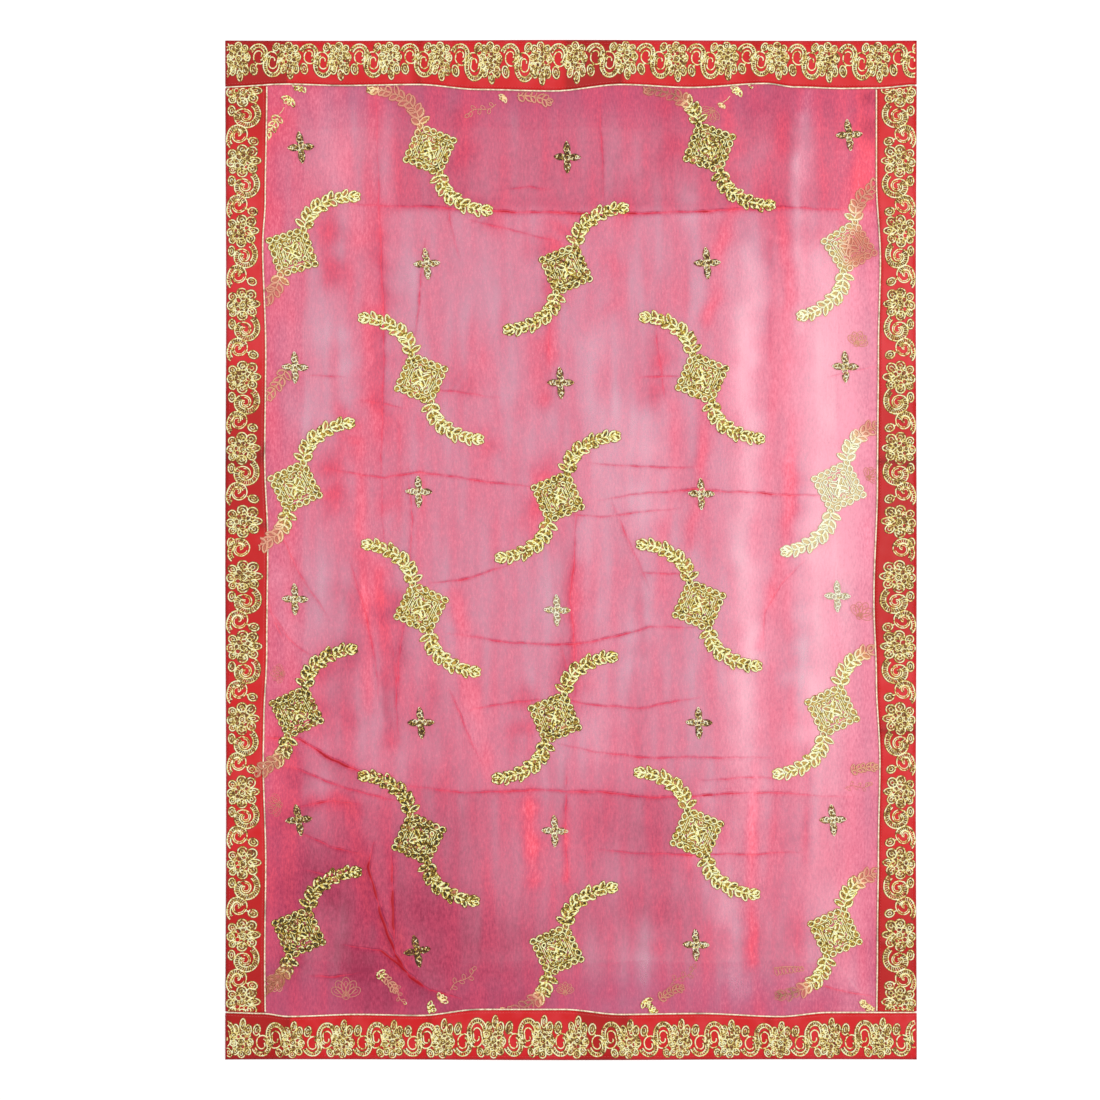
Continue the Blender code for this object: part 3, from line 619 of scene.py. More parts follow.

# %% [markdown]
# ## Light and shade in organza
#
# Where one layer lies flat the table shows through, and the cloth looks milky. Where it is folded
# or bunched the layers add up, and it looks red. The sheen of the glossy filament along broad
# streaks, and the shade of the folds, are painted into the colour. Two attributes hold this:
# `layers` says how much cloth there is, and a second one how much painted highlight (above 0) or
# painted shade (below 0) there is. Each row is a soft brush stroke between two points.

# %% Brush strokes
STROKES = (
    # x0, y0, x1, y1, half-width, layers, painted highlight (above 0) or painted shade (below 0)
    (237, 330, 237, -360, 19, -0.16, 0.36), (240, 300, 236, -60, 12, -0.05, 0.12),
    (350, 400, 347, -240, 36, -0.1, 0.45), (341, -190, 339, -560, 24, -0.1, 0.22),
    (383, 340, 381, -20, 20, -0.1, 0.25), (280, 626, 280, 428, 16, 0.35, -0.07),
    (279, 394, 279, -476, 19, 0.1, -0.12), (320, 619, 318, 456, 12, -0.05, 0.4),
    (-344, 605, -301, 456, 18, 0.1, 0.26), (-317, 619, -287, 422, 11, 0.25, 0.16),
    (-286, 420, -262, -60, 13, 0.35, 0.16), (-300, 160, -246, -180, 10, 0.3, 0.14),
    (-128, 300, -118, 60, 12, 0.25, 0.1), (140, 190, 128, -60, 12, 0.3, 0.14),
    (-60, 180, -40, 20, 10, 0.2, 0.08), (60, 440, 52, 330, 14, 0.25, 0.05),
    (210, 620, 228, 470, 12, 0.3, 0.12), (-150, -150, -110, -330, 12, 0.25, 0.12),
    (-62, -330, -52, -420, 12, 0.3, 0.08), (292, 120, 296, -160, 11, 0.25, 0.12),
    (-260, 626, -257, 340, 15, 0.32, -0.02), (-260, 326, -254, 68, 16, 0.3, -0.07),
    (-260, 299, -257, 204, 11, 0.1, -0.2), (-326, 456, -328, 367, 18, 0.45, -0.16),
    (-328, 120, -324, 57, 18, 0.45, -0.16), (-335, -156, -336, -245, 18, 0.35, -0.14),
    (-307, 170, -301, 136, 16, 0.3, -0.09), (-156, 585, -151, 483, 18, 0.3, -0.14),
    (-124, 460, -110, 442, 16, 0.3, -0.11), (-1, 456, -15, 408, 19, 0.45, -0.11),
    (69, 465, 80, 460, 14, 0.35, -0.09), (-35, 109, -56, 41, 18, 0.3, -0.09),
    (-56, -204, -67, -265, 20, 0.4, -0.14), (12, -136, 23, -204, 18, 0.2, -0.09),
    (-124, 143, -117, 136, 16, 0.2, -0.09), (-158, 238, -137, 218, 16, 0.12, -0.15),
    (121, 279, 117, 204, 16, 0.3, -0.09), (129, 619, 132, 524, 19, 0.3, -0.13),
    (336, 422, 341, 405, 14, 0.25, -0.14), (-328, 299, -335, 177, 30, -0.08, 0.05),
    (-307, 286, -301, 204, 12, -0.2, 0.05), (-137, 340, -69, 340, 50, -0.12, -0.05),
    (-97, 231, -69, 163, 44, -0.1, 0.02), (39, 313, 67, 163, 38, -0.12, 0.02),
    (80, 150, 94, 41, 40, -0.12, 0.14), (39, -14, 80, -95, 41, -0.08, 0.02),
    (-30, 345, -28, 204, 14, 0.45, 0.02), (8, 68, -7, -204, 14, 0.25, -0.1),
    (-15, -122, -8, -204, 19, 0.2, -0.1), (214, 460, 186, 312, 10, 0.6, 0.14),
    (175, 299, 162, 41, 14, 0.16, 0.02), (-280, -14, -271, -122, 22, 0.1, -0.13),
    (-239, -68, -235, -258, 16, 0.25, -0.12), (-307, -68, -301, -231, 19, 0.12, -0.2),
    (-369, -204, -369, -286, 27, 0.2, -0.11), (-392, -380, -262, -600, 42, 0.12, -0.34),
    (-312, -450, -300, -600, 40, 0.1, -0.26), (-388, -460, -384, -612, 32, 0.1, -0.2),
    (-205, -490, -192, -612, 50, 0.12, -0.2), (-97, -544, -90, -612, 50, 0.1, -0.18),
    (-301, -360, -239, -551, 16, 0.45, -0.05), (-271, -483, -233, -564, 12, 0.35, 0.1),
    (-369, -347, -307, -348, 12, 0.4, -0.05), (114, -367, 121, -558, 46, 0.12, -0.25),
    (39, -367, 39, -558, 41, 0.05, -0.15), (-15, -381, -20, -476, 19, 0.05, 0.1),
    (203, -408, 223, -592, 19, -0.2, 0.15), (-151, -136, -124, -286, 27, 0.05, -0.06),
    (-205, -190, -192, -326, 34, 0.1, -0.12), (-409, -27, -382, -122, 14, -0.1, 0.22),
    (-151, -129, -110, -313, 14, -0.08, 0.14), (94, -14, 107, -95, 14, -0.05, 0.1),
    (400, 619, 398, 500, 18, 0.3, -0.13), (298, 598, 359, 585, 41, 0, -0.08),
    (-409, 619, -409, 449, 24, 0.3, -0.12), (39, 571, 107, 503, 30, -0.05, 0.06),
    (300, 110, 303, 20, 14, 0.12, -0.15), (128, 100, 134, 10, 28, -0.1, 0.1),
    (-388, -270, -386, -360, 20, 0.05, -0.18), (-310, -260, -312, -350, 24, 0.1, -0.05),
    (80, -600, 420, -600, 24, -0.02, 0.12), (250, 540, 380, 500, 40, -0.02, 0.1),
    (-380, 300, -377, 140, 16, -0.1, 0.12), (-378, 0, -380, -60, 14, -0.08, 0.1),
    (310, 590, 307, 470, 6, -0.15, 0.45), (309, 460, 312, 300, 6, -0.15, 0.3),
    (184, 195, 166, 5, 9, 0.5, 0.1), (292, 450, 300, 20, 10, 0.4, 0.04),
    (270, 420, 270, 260, 6, 0.05, -0.3), (240, 410, 240, 160, 11, -0.12, 0.22),
    (352, 340, 350, 170, 18, -0.12, 0.18), (-262, 430, -258, 350, 9, 0.15, -0.25),
    (-258, 300, -256, 160, 9, 0.04, -0.02), (-290, 200, -285, 20, 6, 0.3, 0.1),
    (-235, 190, -232, 10, 6, 0.28, 0.05), (-208, 180, -204, 20, 6, 0.25, 0.04),
    (-274, 190, -268, 0, 6, -0.12, -0.04), (-220, 460, -215, 310, 10, -0.12, 0.0),
    (-340, 330, -343, 180, 16, -0.12, 0.02), (-284, -5, -272, -215, 9, 0.42, 0.18),
    (-262, -30, -246, -260, 6, 0.1, -0.26), (-160, -60, -112, -290, 11, 0.42, 0.2),
    (-185, -190, -160, -300, 14, -0.02, -0.14), (-58, -350, -46, -450, 10, 0.4, 0.16),
    (-8, -350, -6, -445, 6, 0.35, 0.06), (247, -290, 246, -560, 7, 0.55, 0.1),
    (215, -420, 214, -600, 9, -0.14, 0.06), (320, -265, 321, -420, 6, 0.05, -0.28),
    (240, -5, 238, -200, 13, -0.12, 0.16), (332, 0, 332, -200, 10, -0.12, 0.18),
    (284, -8, 252, -130, 8, 0.45, 0.05), (305, -195, 300, -285, 14, 0.22, 0.0),
    (95, -20, 95, -300, 9, 0.06, -0.14), (70, 190, 75, 60, 22, -0.08, 0.06),
    (130, 190, 135, 170, 14, -0.1, 0.12), (78, 590, 85, 520, 18, -0.08, 0.04),
    (-100, 580, -90, 500, 28, -0.06, 0.04), (404, 640, 402, 575, 18, 0.2, -0.45),
    (60, -380, 80, -600, 30, -0.12, 0.02), (306, 110, 302, -200, 22, -0.1, -0.28),
    (300, -380, 296, -500, 26, -0.04, -0.2), (374, -500, 376, -640, 30, 0.04, 0.32),
    (310, -570, 300, -640, 24, -0.06, 0.16), (34, 290, 36, -260, 22, -0.06, 0.18),
    (-40, -20, -36, -240, 24, -0.16, 0.02), (104, 160, 102, 20, 20, -0.06, 0.14),
    (171, 350, 171, -240, 16, -0.14, 0.04), (-308, -140, -308, -440, 20, 0.04, -0.16),
    (-378, -260, -378, -360, 20, 0.0, -0.28), (-380, -500, -380, -560, 18, 0.0, -0.28),
    (-240, -60, -238, -140, 20, -0.14, -0.28), (-395, 560, -398, -180, 20, -0.02, 0.12),
    (80, -110, 84, -180, 30, -0.1, 0.06), (60, -585, 62, -640, 60, -0.12, 0.0),
    (175, -335, 172, -420, 16, -0.05, 0.3), (-178, -585, -160, -640, 40, -0.08, 0.16),
    (-330, -470, -325, -560, 34, -0.12, 0.02), (-290, -545, -286, -600, 26, -0.16, 0.1),
    (-248, -400, -232, -560, 12, 0.14, -0.1), (376, -470, 376, -540, 20, 0.0, 0.16),
    (240, -585, 330, -600, 22, -0.08, 0.1), (375, 405, 378, 340, 22, 0.22, -0.06),
    (104, -585, 108, -520, 24, -0.2, 0.08), (240, 480, 242, 540, 18, -0.16, 0.04),
    (170, 480, 172, 440, 20, -0.16, 0.14), (-40, 415, -36, 330, 16, 0.1, -0.14),
    (380, -60, 378, -130, 18, -0.22, 0.02), (306, -90, 304, -170, 18, -0.18, 0.0),
)
# Whole areas where the imported cloth lay double, or gets more painted light or painted shade.
STRETCHES = (
    # x0, x1, y0, y1, softness of the sides, layers, painted light (above 0) or shade (below 0)
    (-240, 470, 463, 640, 9, 0.14, -0.28),
    (-300, 470, -640, -320, 46, 0.08, -0.14),
    (-440, -366, -560, 640, 14, 0.26, 0.10),
    (364, 440, -640, 640, 14, 0.10, 0.20),
    (-460, -130, -660, -350, 55, 0.06, -0.30),
    (-200, -10, -660, -480, 50, 0.03, -0.20),
    (205, 460, -500, 400, 45, 0.06, 0.34),
    (290, 460, -150, 330, 40, 0.00, 0.14),
    (345, 460, 430, 580, 28, 0.25, 0.10),
)
LAYERS_BASE = 0.26
LAYERS_PER_CREASE = 0.22
# A stroke is uneven along its way, and one with a half-width under this, in mm, wavers less.
STROKE_LEAST, STROKE_UNEVEN, STROKE_WAVE = 0.8, 0.3, 11.0
STEADY_WIDTH = 16


def stretch_share(x, y, x0, x1, y0, y1, softness):
    inside = np.minimum.reduce([x - x0 * MM, x1 * MM - x, y - y0 * MM, y1 * MM - y])
    return smooth(0.5 + inside / (2 * softness * MM))


WOBBLES = (
    # height in mm, length in metres and phase of the waves that keep strokes from running straight
    (5.0, 0.232, 1.3),
    (3.2, 0.097, 0.4),
    (2.2, 0.041, 2.6),
)


def wobble(place):
    total = 0.0
    for height, length, phase in WOBBLES:
        total = total + height * MM * np.sin(2 * math.pi * place / length + phase)
    return total


# Sums the strokes and stretches: the layers of cloth, and the painted highlight and shade.
def layers_and_painted_light(x, y, creases):
    layers = LAYERS_BASE + LAYERS_PER_CREASE * creases
    painted_light_and_shade = np.zeros_like(x)
    shift_x, shift_y = wobble(y), wobble(x)
    for number, (*ends, half_width, more_layers, more_painted_light) in enumerate(STROKES):
        waver = min(1.0, half_width / STEADY_WIDTH)
        ends = [value * MM for value in ends]
        distance, share = to_segment(x + waver * shift_x, y + waver * shift_y, *ends)
        brush = np.exp(-((distance / (half_width * MM)) ** 2))
        brush *= STROKE_LEAST + STROKE_UNEVEN * np.sin(STROKE_WAVE * share + number)
        layers += more_layers * brush
        painted_light_and_shade += more_painted_light * brush
    for *stretch, more_layers, more_painted_light in STRETCHES:
        share = stretch_share(x, y, *stretch)
        layers += more_layers * share
        painted_light_and_shade += more_painted_light * share
    return np.clip(layers, 0.0, 1.0), np.clip(painted_light_and_shade, -1.0, 1.0)


# %% [markdown]
# ## Organza
#
# Organza is plain-woven from fine twisted filament. Its alpha follows `layers`, so more layers
# hide more of the table, and its colour deepens from a greyed pink to red. Painted highlight and
# painted shade are mixed in on top, and painted shade also hides more of the table. `side` is the
# signed distance to the nearest crease, so the shader can draw a thin red line along it, with a
# line of painted shade beside it, both finer than the mesh. The crepe of the yarn shows as fine
# upright marks, which a stretched noise gives to colour, alpha and bump.

# %% The sheer finish
THIN_DYE = (0.55, 0.085, 0.215, 1.0)
DENSE_DYE = (0.84, 0.085, 0.140, 1.0)
VEIN_DYE = (0.58, 0.008, 0.034, 1.0)
# The core of the strongest creases: their red darkened by painted shade.
VEIN_CORE_SHADE = (0.38, 0.001, 0.010, 1.0)
# A painted highlight: the filament's sheen.
PAINTED_HIGHLIGHT = (0.98, 0.34, 0.46, 1.0)
# Painted shade.
SHADE = (0.30, 0.015, 0.060, 1.0)
THIN_ALPHA = 0.54
LAYER_ALPHA = 0.42
CREASE_DEPTH = 0.62


def sheer_finish(name):
    finish = Finish(
        name, Roughness=0.55, Specular_IOR_Level=0.25, Sheen_Weight=0.08, Sheen_Roughness=0.4
    )
    crepe = finish.noise(1.0, 2.0, (460.0, 160.0, 460.0)) - 0.5
    slub = finish.noise(1.0, 2.0, (150.0, 46.0, 150.0)) - 0.5
    drift = finish.noise(1.0, 2.0, (24.0, 9.0, 24.0)) - 0.5
    pleats = finish.noise(1.0, 1.5, (46.0, 7.0, 46.0)) - 0.5
    streaks = crepe * 1.2 + slub * 0.4 + (finish.noise(560.0, 1.0) - 0.5) * 0.35
    layers = finish.attribute("layers") + streaks * 0.45 + drift * 0.40 + pleats * 0.85
    # The noises also vary the painted highlight and shade.
    painted_light_and_shade = finish.attribute("painted_light_and_shade") + streaks * 0.80 + drift * 0.15 + pleats * 0.20
    # A weak crease breaks up into dashes, and a strong one runs on.
    pressed = finish.attribute("crease")
    broken = (finish.noise(90.0, 1.0) * 2.4 - 0.4 + (pressed - 1.7).clamped()).clamped(0.3, 1.0)
    strong = pressed * broken * CREASE_DEPTH
    crease = strong.clamped()
    # The red vein lies on the crease's line, a painted shade line beside it, wider where it is strong.
    side = finish.attribute("side") + slub * 2.0
    half = (strong * strong * 1.5 + 0.7).clamped(0.7, 2.4)
    crisp = (strong - 1.0).clamped() * 1.5 + 1
    vein = ((1 - abs(side) / half) * crisp).clamped() * crease
    darkest = crease * 0.85 - (strong - 0.9).clamped() * 0.5
    dark = (1 - abs(side + half * 1.5) / half).clamped() * darkest
    # Painted shade where the painted light is below zero, and in the line beside each crease.
    shade = (0 - painted_light_and_shade).clamped() + dark
    colour = finish.mixed(THIN_DYE, DENSE_DYE, layers.clamped())
    # A painted highlight, then painted shade.
    colour = finish.mixed(colour, PAINTED_HIGHLIGHT, painted_light_and_shade.clamped())
    colour = finish.mixed(colour, SHADE, shade.clamped())
    # In the strongest creases the vein darkens in its core: painted shade.
    vein_colour_and_shade = finish.mixed(VEIN_DYE, VEIN_CORE_SHADE, (strong * 1.6 - 1.1).clamped())
    finish.set("Base Color", finish.mixed(colour, vein_colour_and_shade, vein))
    # Painted shade also makes the cloth less clear.
    alpha = (layers * LAYER_ALPHA + shade * 0.22 + THIN_ALPHA).clamped(0.05, 0.96)
    finish.set("Alpha", (alpha + vein * 0.48).clamped())
    finish.bump(crepe + slub * 0.6, 0.0003, 0.5)
    return finish.material


organza = sheer_finish("organza")
print("finish:", organza.name)

# %% [markdown]
# ## The field
#
# The field is one thin sheet over the whole solid. A grid of 6 mm cells is enough for the folds,
# and only the cells on a crease are split, twice, so that the creases stay crisp and the mesh
# stays light.

# %% Making the field
FIELD_CELL = 0.0062
CREASE_REACHES = (0.008, 0.004)


def near_crease(x, y, reach):
    near = np.zeros(len(x), bool)
    for _, _, points in CREASES:
        near |= abs(crease_parts(x, y, points)[0]) < reach
    return near


def make_field():
    half_x, half_y = fold_line("right"), fold_line("top")
    columns, rows = (round(2 * half / FIELD_CELL) + 1 for half in (half_x, half_y))
    x, y = np.meshgrid(
        np.linspace(-half_x, half_x, columns), np.linspace(-half_y, half_y, rows), indexing="ij"
    )
    flat = np.column_stack([x.ravel(), y.ravel(), np.zeros(x.size)])
    field = mesh_object("organza_field", flat, grid_faces(columns, rows))
    bm = bmesh.new()
    bm.from_mesh(field.data)
    for reach in CREASE_REACHES:
        centres = np.array([face.calc_center_median() for face in bm.faces])
        near = near_crease(centres[:, 0], centres[:, 1], reach)
        edges = {edge for face, hit in zip(bm.faces, near) if hit for edge in face.edges}
        bmesh.ops.subdivide_edges(bm, edges=list(edges), cuts=1, use_grid_fill=True)
        bmesh.ops.triangulate(bm, faces=[face for face in bm.faces if len(face.verts) > 4])
    bm.to_mesh(field.data)
    bm.free()
    co = np.empty(len(field.data.vertices) * 3, np.float32)
    field.data.vertices.foreach_get("co", co)
    co = co.reshape(-1, 3).astype(float)
    x, y = co[:, 0].copy(), co[:, 1].copy()
    creases, strength, side = crease_fields(x, y)
    co[:, 2] = cloth_height(x, y, creases)
    field.data.vertices.foreach_set("co", co.astype(np.float32).ravel())
    layers, painted_light_and_shade = layers_and_painted_light(x, y, creases)
    shown = {"layers": layers, "painted_light_and_shade": painted_light_and_shade, "crease": strength, "side": side}
    for name, values in shown.items():
        set_attribute(field, name, values)
    return finished(field, organza)


field = make_field()
print("field:", triangles(field), "triangles")

# %% [markdown]
# ## The turned-under margins
#
# Each edge of the organza is folded under, a hand's breadth deep, and lies between the table and
# the field. The four strips are mitred where they meet. Through the field they make a redder
# border.

# %% Making the margins
MARGIN_CELL = 0.009
MARGIN_WANDER = 0.004
MARGIN_WANDER_LENGTH = 0.31
MARGIN_WAVE = 0.00018
MARGIN_LEVEL = SHEER_WALL * 0.42
MARGIN_LAYERS = -0.35
# A slight painted shade on the margins.
MARGIN_PAINTED_SHADE = -0.05
RAW_EDGE_LAYERS = -1.05
RAW_EDGE_WIDTH = 0.045
MITRE_GAP = 0.00004


def ends_of(side):
    """The two sides that a side runs between."""
    return ("left", "right") if side in ENDS else ("bottom", "top")


def make_margin(side):
    """A strip from the fold in to the raw edge, which wanders a little."""
    low, high = ends_of(side)
    fold, fold_end, raw = fold_line(side), fold_line(low) - MITRE_GAP, RAW_EDGE[side]
    corners = (
        (-fold_end, fold), (fold_end, fold),
        (MITRE_GAP - RAW_EDGE[low], raw), (RAW_EDGE[high] - MITRE_GAP, raw),
    )
    outer_start, outer_end, inner_start, inner_end = (
        np.array(on_side(side, along, out)) for along, out in corners
    )
    outwards = outer_start + outer_end - inner_start - inner_end
    outwards = outwards / np.hypot(*outwards)
    depth = abs(outwards @ (outer_start - inner_start))
    columns = round(np.hypot(*(outer_end - outer_start)) / MARGIN_CELL)
    rows = round(depth / MARGIN_CELL)
    along, across = np.meshgrid(np.linspace(0, 1, columns), np.linspace(0, 1, rows), indexing="ij")
    along, across = along.ravel()[:, None], across.ravel()[:, None]
    inner = inner_start + (inner_end - inner_start) * along
    length = np.hypot(*(inner_end - inner_start))
    wander = np.sin(2 * math.pi * length * along / MARGIN_WANDER_LENGTH) ** 2
    inner = inner + outwards * MARGIN_WANDER * wander
    outer = outer_start + (outer_end - outer_start) * along
    xy = inner + (outer - inner) * across
    wave = MARGIN_WAVE * meander(*xy.T, 140, 3, 40)
    points = np.column_stack([xy, MARGIN_LEVEL + wave])
    strip = mesh_object("organza_margin_" + side, points, grid_faces(columns, rows))
    raw_share = smooth(1 - across.ravel() * depth / RAW_EDGE_WIDTH)
    layers = MARGIN_LAYERS + (RAW_EDGE_LAYERS - MARGIN_LAYERS) * raw_share
    set_attribute(strip, "layers", layers)
    set_attribute(strip, "painted_light_and_shade", np.full(len(points), MARGIN_PAINTED_SHADE))
    return finished(strip, organza)


margins = {side: make_margin(side) for side in RAW_EDGE}
print("margins:", {side: triangles(strip) for side, strip in margins.items()})

# %% [markdown]
# ## The satin bands
#
# Each band is a strip of red satin from the cloth's outer edge to its piping. Its outer lip droops
# over the folded organza to the table. The sheet below is its face, and Solidify gives it its
# thickness. Shallow puckers run between the flowers, and a few pressed creases cross it.

# %% Painted shade and creases of the bands
BAND_CELL = 0.0048
BAND_THICKNESS = 0.0009
PUCKER = 0.00025
# Painted shade along each pressed crease of a band, and how far it spreads.
BAND_CREASE_SHADE = 0.45
BAND_CREASE_SHADE_SPREAD = 0.7
BAND_SHADES = {
    # from, to, softness, how much painted shade, or painted light if below zero
    "top": (
        (-470, -388, 3, 0.6), (-8, 70, 4, 0.62), (238, 254, 6, 0.25), (-215, -200, 6, 0.25),
    ),
    "bottom": (
        (-470, -384, 3, 0.6), (8, 76, 4, 0.55), (-196, -188, 5, 0.2), (262, 274, 5, 0.25),
    ),
    "left": (
        (240, 520, 60, -0.2), (40, 230, 30, 0.42), (-120, 20, 30, 0.22), (-640, -440, 40, 0.34),
        (-640, -560, 20, 0.18), (115, 143, 8, 0.4), (27, 41, 6, 0.3), (560, 640, 30, 0.3),
    ),
    "right": (
        (230, 540, 60, -0.22), (50, 230, 30, 0.26), (-140, 70, 30, 0.3), (-640, -450, 40, 0.32),
        (109, 129, 8, 0.35), (-258, -231, 8, 0.4), (-612, -534, 14, 0.15), (560, 630, 25, 0.12),
    ),
}
BAND_CREASES = {
    # place, rise, half-width
    "top": (
        (-387, 1.1, 3.0), (-207, 0.7, 3.0), (69, 1.1, 3.0), (253, 0.7, 3.2),
    ),
    "bottom": (
        (-384, 1.1, 3.0), (-192, 0.6, 3.0), (76, 1.0, 3.0), (271, 0.8, 3.2),
    ),
    "left": (
        (129, 0.9, 4.0), (34, 0.7, 4.0), (-330, 0.5, 4.0),
    ),
    "right": (
        (120, 0.9, 4.0), (-245, 0.9, 4.0), (-535, 0.8, 4.0), (330, 0.5, 4.0),
    ),
}


def edge_inset(x, y):
    """How far inside the cloth's outer edge points lie."""
    return np.minimum(outer_edge("right", y) - abs(x), outer_edge("top", x) - abs(y))


def droop(x, y):
    """The height of a band's underside: the lip falls to the table at the cloth's edge."""
    return BAND_LIFT * np.clip(edge_inset(x, y) / LIP_WIDTH, 0.0, 1.0)


def band_creases(side, along, spread=1.0):
    """One band's pressed creases in turn: the rise in mm, and the share of it at each place."""
    for place, rise, half_width in BAND_CREASES[side]:
        yield rise, np.exp(-(((along - place * MM) / (half_width * spread * MM)) ** 2))


def satin_height(x, y, side):
    """The satin's face over the table."""
    wave = PUCKER * (1 + meander(x, y, 230, 2, 60) * meander(y, x, 190, 2, 50))
    pressed = np.zeros_like(x)
    for rise, across in band_creases(side, x if side in ENDS else y):
        pressed = np.maximum(pressed, rise * MM * across)
    return droop(x, y) + BAND_WALL + (wave + pressed) * smooth(edge_inset(x, y) / LIP_WIDTH)


# Painted shade along a band, painted light where it is below zero, and painted shade on its creases.
def band_shade(side, along):
    dark = np.zeros_like(along)
    for start, end, softness, amount in BAND_SHADES[side]:
        inside = np.minimum(along - start * MM, end * MM - along)
        dark = dark + amount * smooth(0.5 + inside / (2 * softness * MM))
    for rise, line in band_creases(side, along, BAND_CREASE_SHADE_SPREAD):
        dark = dark + BAND_CREASE_SHADE * rise * line
    return np.clip(dark, -1.0, 1.0)


# %% The satin finish
# The dark red is painted shade; the pale red shows in the mottle and as painted light.
SATIN_RED = (0.55, 0.012, 0.014, 1.0)
SATIN_DARK = (0.25, 0.009, 0.006, 1.0)
SATIN_PALE = (0.64, 0.050, 0.062, 1.0)

satin = Finish("satin", Specular_IOR_Level=0.15)
twill = satin.noise(1.0, 2.0, (1500.0, 1500.0, 1500.0))
mottle = satin.noise(38.0, 3.0)
shade = satin.attribute("shade") + (twill - 0.5) * 0.18
colour = satin.mixed(SATIN_RED, SATIN_PALE, (mottle * 1.4 - 0.58 - shade).clamped())
colour = satin.mixed(colour, SATIN_DARK, shade.clamped())
satin.set("Base Color", colour)
satin.set("Roughness", 0.42 + (mottle - 0.5) * 0.2)
satin.bump(twill * 0.4 + mottle, 0.0004, 0.5)


# %% Making the bands
def band_ends(side, out):
    """Where a band starts and ends: at the cloth's edge, or for a side band at the end pipings."""
    if side in ENDS:
        return -outer_edge("left", out), outer_edge("right", out)
    x = SIGN[side] * out
    return PIPING_CLEAR - piping_line("bottom", x), piping_line("top", x) - PIPING_CLEAR


def make_band(side):
    """A strip from the outer edge in to the piping."""
    end = HALF_WIDTH if side in ENDS else END_LINE
    places = np.linspace(-end, end, round(2 * end / BAND_CELL) + 1)
    line = piping_line(side, places)
    rows = round((half_size(side) - line.mean()) / BAND_CELL) + 2
    outer, inner = outer_edge(side, places), line + PIPING_CLEAR
    out = outer[:, None] + (inner - outer)[:, None] * np.linspace(0, 1, rows)
    along = np.repeat(places[:, None], rows, axis=1)
    along[0], along[-1] = band_ends(side, out[0])[0], band_ends(side, out[-1])[1]
    x, y = on_side(side, along.ravel(), out.ravel())
    points = np.column_stack([x, y, satin_height(x, y, side)])
    band = mesh_object("satin_band_" + side, points, grid_faces(len(places), rows))
    set_attribute(band, "shade", band_shade(side, along.ravel()))
    solidify = finished(band, satin.material).modifiers.new("thickness", "SOLIDIFY")
    solidify.thickness = BAND_THICKNESS
    solidify.offset = -1.0
    return plain("satin_band_" + side, band)


bands = {side: make_band(side) for side in WANDER}
print("bands:", {side: triangles(band) for side, band in bands.items()})

# %% [markdown]
# ## Geometry Nodes for cords
#
# A couched cord follows a drawn line, so a tree can make all of them. The line is a mesh of edges.
# The tree turns it to a curve, sweeps a round section along it and sizes the section by the `thick`
# attribute. `along`, the distance from the cord's start, is kept for the finish.


# %% A tree with named inputs
def new_tree(name, **inputs):
    """A Geometry Nodes tree and wires from its inputs, each given as a name and a socket type."""
    tree = bpy.data.node_groups.new(name, "GeometryNodeTree")
    for socket, kind in {"Geometry": "Geometry", **inputs}.items():
        tree.interface.new_socket(socket, in_out="INPUT", socket_type="NodeSocket" + kind)
    tree.interface.new_socket("Geometry", in_out="OUTPUT", socket_type="NodeSocketGeometry")
    graph = Graph(tree)
    source = tree.nodes.new("NodeGroupInput")
    wires = {socket.name: Wire(graph, socket) for socket in source.outputs if socket.name}
    return graph, wires


def swept(graph, curve, sides, size, **more):
    """A round section swept along a curve."""
    section = graph.geo("CurvePrimitiveCircle", Resolution=sides, Radius=size)
    return graph.geo("CurveToMesh", Curve=curve, Profile_Curve=section, Fill_Caps=True, **more)


def close_tree(graph, geometry, material):
    """Every tree ends alike: real meshes, shaded smooth, with their material."""
    geometry = graph.geo("RealizeInstances", Geometry=geometry)
    geometry = graph.geo("SetShadeSmooth", Geometry=geometry)
    geometry = graph.geo("SetMaterial", Geometry=geometry, Material=material)
    result = graph.tree.nodes.new("NodeGroupOutput")
    graph.put(result.inputs["Geometry"], geometry)
    return graph.tree


def run_tree(name, guide, tree, values):
    """Runs a tree on a guide mesh and gives back a plain mesh object."""
    modifier = guide.modifiers.new("make", "NODES")
    modifier.node_group = tree
    for item in tree.interface.items_tree:
        if item.name in values:
            modifier[item.identifier] = values[item.name]
    return plain(name, guide)


# %% The tree for couched cords
def cord_tree():
    graph, wires = new_tree("couched_cord", Sides="Int", Material="Material")
    curve = graph.geo("MeshToCurve", Mesh=wires["Geometry"])
    length = graph.geo("SplineParameter").output("Length")
    stored = {"data_type": "FLOAT", "domain": "POINT"}
    curve = graph.geo("StoreNamedAttribute", stored, Geometry=curve, Name="along", Value=length)
    thick = graph.geo("InputNamedAttribute", {"data_type": "FLOAT"}, Name="thick")
    tube = swept(graph, curve, wires["Sides"], 1.0, Scale=thick)
    return close_tree(graph, tube, wires["Material"])


couched_cord = cord_tree()
print("tree:", couched_cord.name)

# %% [markdown]
# ## Drawing with cord
#
# A `Pattern` is a drawing made once, in millimetres, from loops, leaves and coils. It can then be
# laid anywhere on the cloth. Each stroke keeps its cord's radius. A filled stroke also gets a thin
# dark ground beneath it: the close stitches that show between the cords, and painted shade between
# the cords and as a dark rim round them.


# %% The pen
CORD_STEP = 2.2
# How far the dark ground, a painted shadow, shows round a cord, in mm.
RIM = 0.6
RUNG_SHARE = 0.45
COIL_TURN = 4.0
COIL_SOFTENING = 5


def turned(points, degrees, x=0.0, y=0.0):
    angle = math.radians(degrees)
    c, s = math.cos(angle), math.sin(angle)
    return points @ np.array([[c, s], [-s, c]]) + (x, y)


